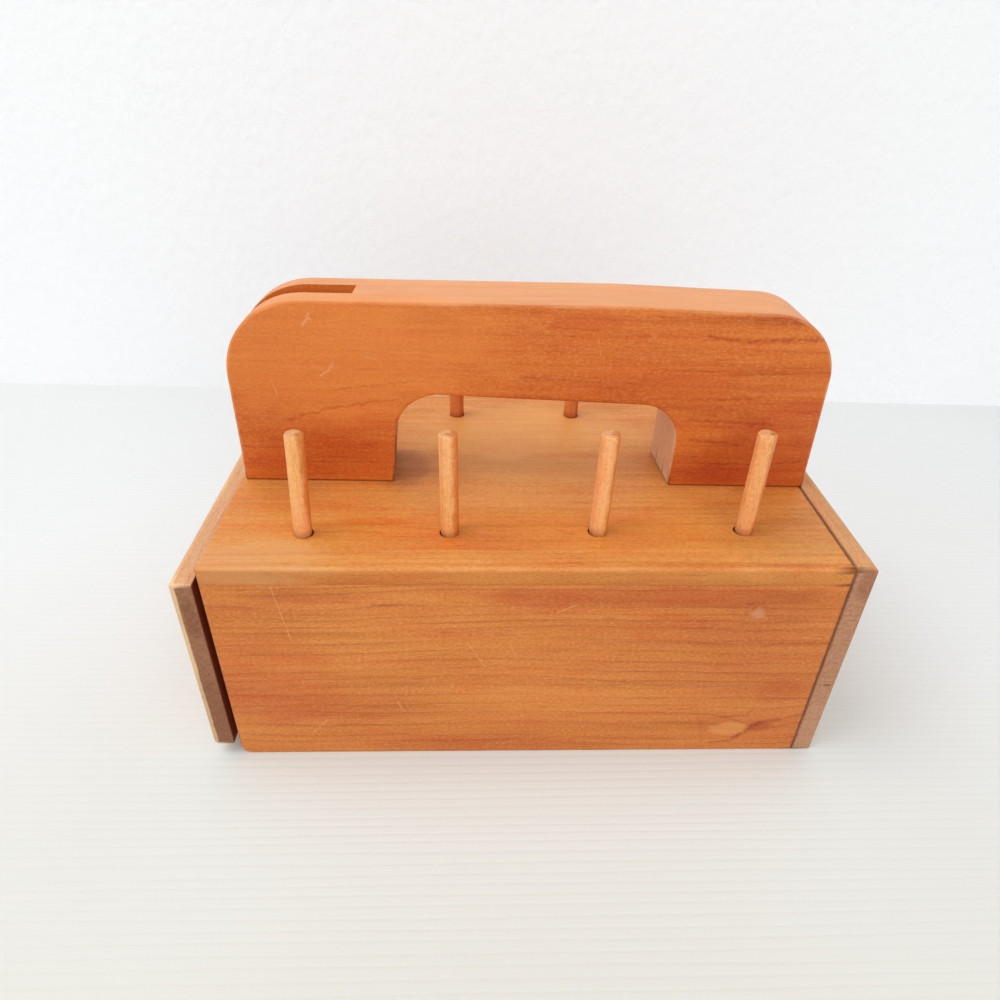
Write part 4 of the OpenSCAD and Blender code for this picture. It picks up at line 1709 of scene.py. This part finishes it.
@dataclass
class Studio:
    """The pale table and wall, the lamps and the camera."""

    camera_at: tuple[float, float, float] = (-0.0206186, -0.29219668, 0.27962868)
    camera_turn: tuple[float, float, float] = (56.73598503, -1.21768122, -1.40684545)
    lens: float = 25.8819
    wall_left: tuple[float, float] = (-1.5, 0.36)
    wall_right: tuple[float, float] = (1.5, 0.26)

    def build(self) -> None:
        """Sets the stage."""
        self._table()
        self._wall()
        self._lamps()
        self._camera()

    def _sheet(self, name: str, corners: Sequence[Sequence[float]], paper: Paper) -> None:
        """Stands one flat sheet of the stage between four corners."""
        bm = bmesh.new()
        bm.faces.new([bm.verts.new(c) for c in corners])
        mesh = bpy.data.meshes.new(name)
        bm.to_mesh(mesh)
        bm.free()
        mesh.materials.append(paper.material())
        sheet = bpy.data.objects.new(name, mesh)
        bpy.context.collection.objects.link(sheet)

    def _table(self) -> None:
        """The table top."""
        paper = Paper(
            "table_paper",
            (0.76, 0.76, 0.745),
            (0.80, 0.81, 0.815),
            ribs=4.2 * MM,
            grit=0.15,
            # Strength of the painted shade near the camera and of the cool tint in front of the box.
            near_share=0.85,
        )
        self._sheet("table_top", [(-3, -3, 0), (3, -3, 0), (3, 3, 0), (-3, 3, 0)], paper)

    def _wall(self) -> None:
        """The plastered wall."""
        (x0, y0), (x1, y1) = self.wall_left, self.wall_right
        paper = Paper("wall_plaster", (0.95, 0.965, 0.98), (0.97, 0.985, 0.995), grit=4.0)
        self._sheet("wall", [(x0, y0, -0.01), (x1, y1, -0.01), (x1, y1, 2.5), (x0, y0, 2.5)], paper)

    def _lamp(self, name: str, at: Sequence[float], aim: Sequence[float], size: float, watts: float) -> None:
        """Hangs one square lamp that looks at a point."""
        data = bpy.data.lights.new(name, "AREA")
        data.shape = "SQUARE"
        data.size = size
        data.energy = watts
        lamp = bpy.data.objects.new(name, data)
        lamp.location = at
        way = Vector(aim) - Vector(at)
        lamp.rotation_euler = way.to_track_quat("-Z", "Y").to_euler()
        bpy.context.collection.objects.link(lamp)

    def _lamps(self) -> None:
        """The window light from the upper left and the room's own light."""
        world = bpy.data.worlds.new("room")
        world.use_nodes = True
        back = world.node_tree.nodes["Background"]
        back.inputs["Color"].default_value = (0.96, 0.98, 1.0, 1.0)
        back.inputs["Strength"].default_value = 0.72
        bpy.context.scene.world = world
        self._lamp("window", (-1.2, -0.1, 2.3), (0.0, 0.0, 0.05), 1.6, 27.0)
        self._lamp("fill", (0.3, -1.7, 0.9), (0.0, 0.0, 0.08), 1.6, 10.0)

    def _camera(self) -> None:
        """The camera at the photograph's place."""
        data = bpy.data.cameras.new("camera")
        data.sensor_width = 36.0
        data.lens = self.lens
        data.clip_start = 0.01
        camera = bpy.data.objects.new("camera", data)
        camera.location = self.camera_at
        camera.rotation_euler = Euler([math.radians(a) for a in self.camera_turn], "XYZ")
        bpy.context.collection.objects.link(camera)
        bpy.context.scene.camera = camera
        bpy.context.scene.view_settings.view_transform = "Standard"


def main() -> None:
    """Builds the box and its surroundings in order."""
    Studio().build()
    shell = BoxShell()
    pegs = SpoolPegs(shell)
    shell.build(pegs)
    CarryingHandle(shell).build()
    pegs.build()
    Drawer(shell).build()


if __name__ == "__main__":
    main()
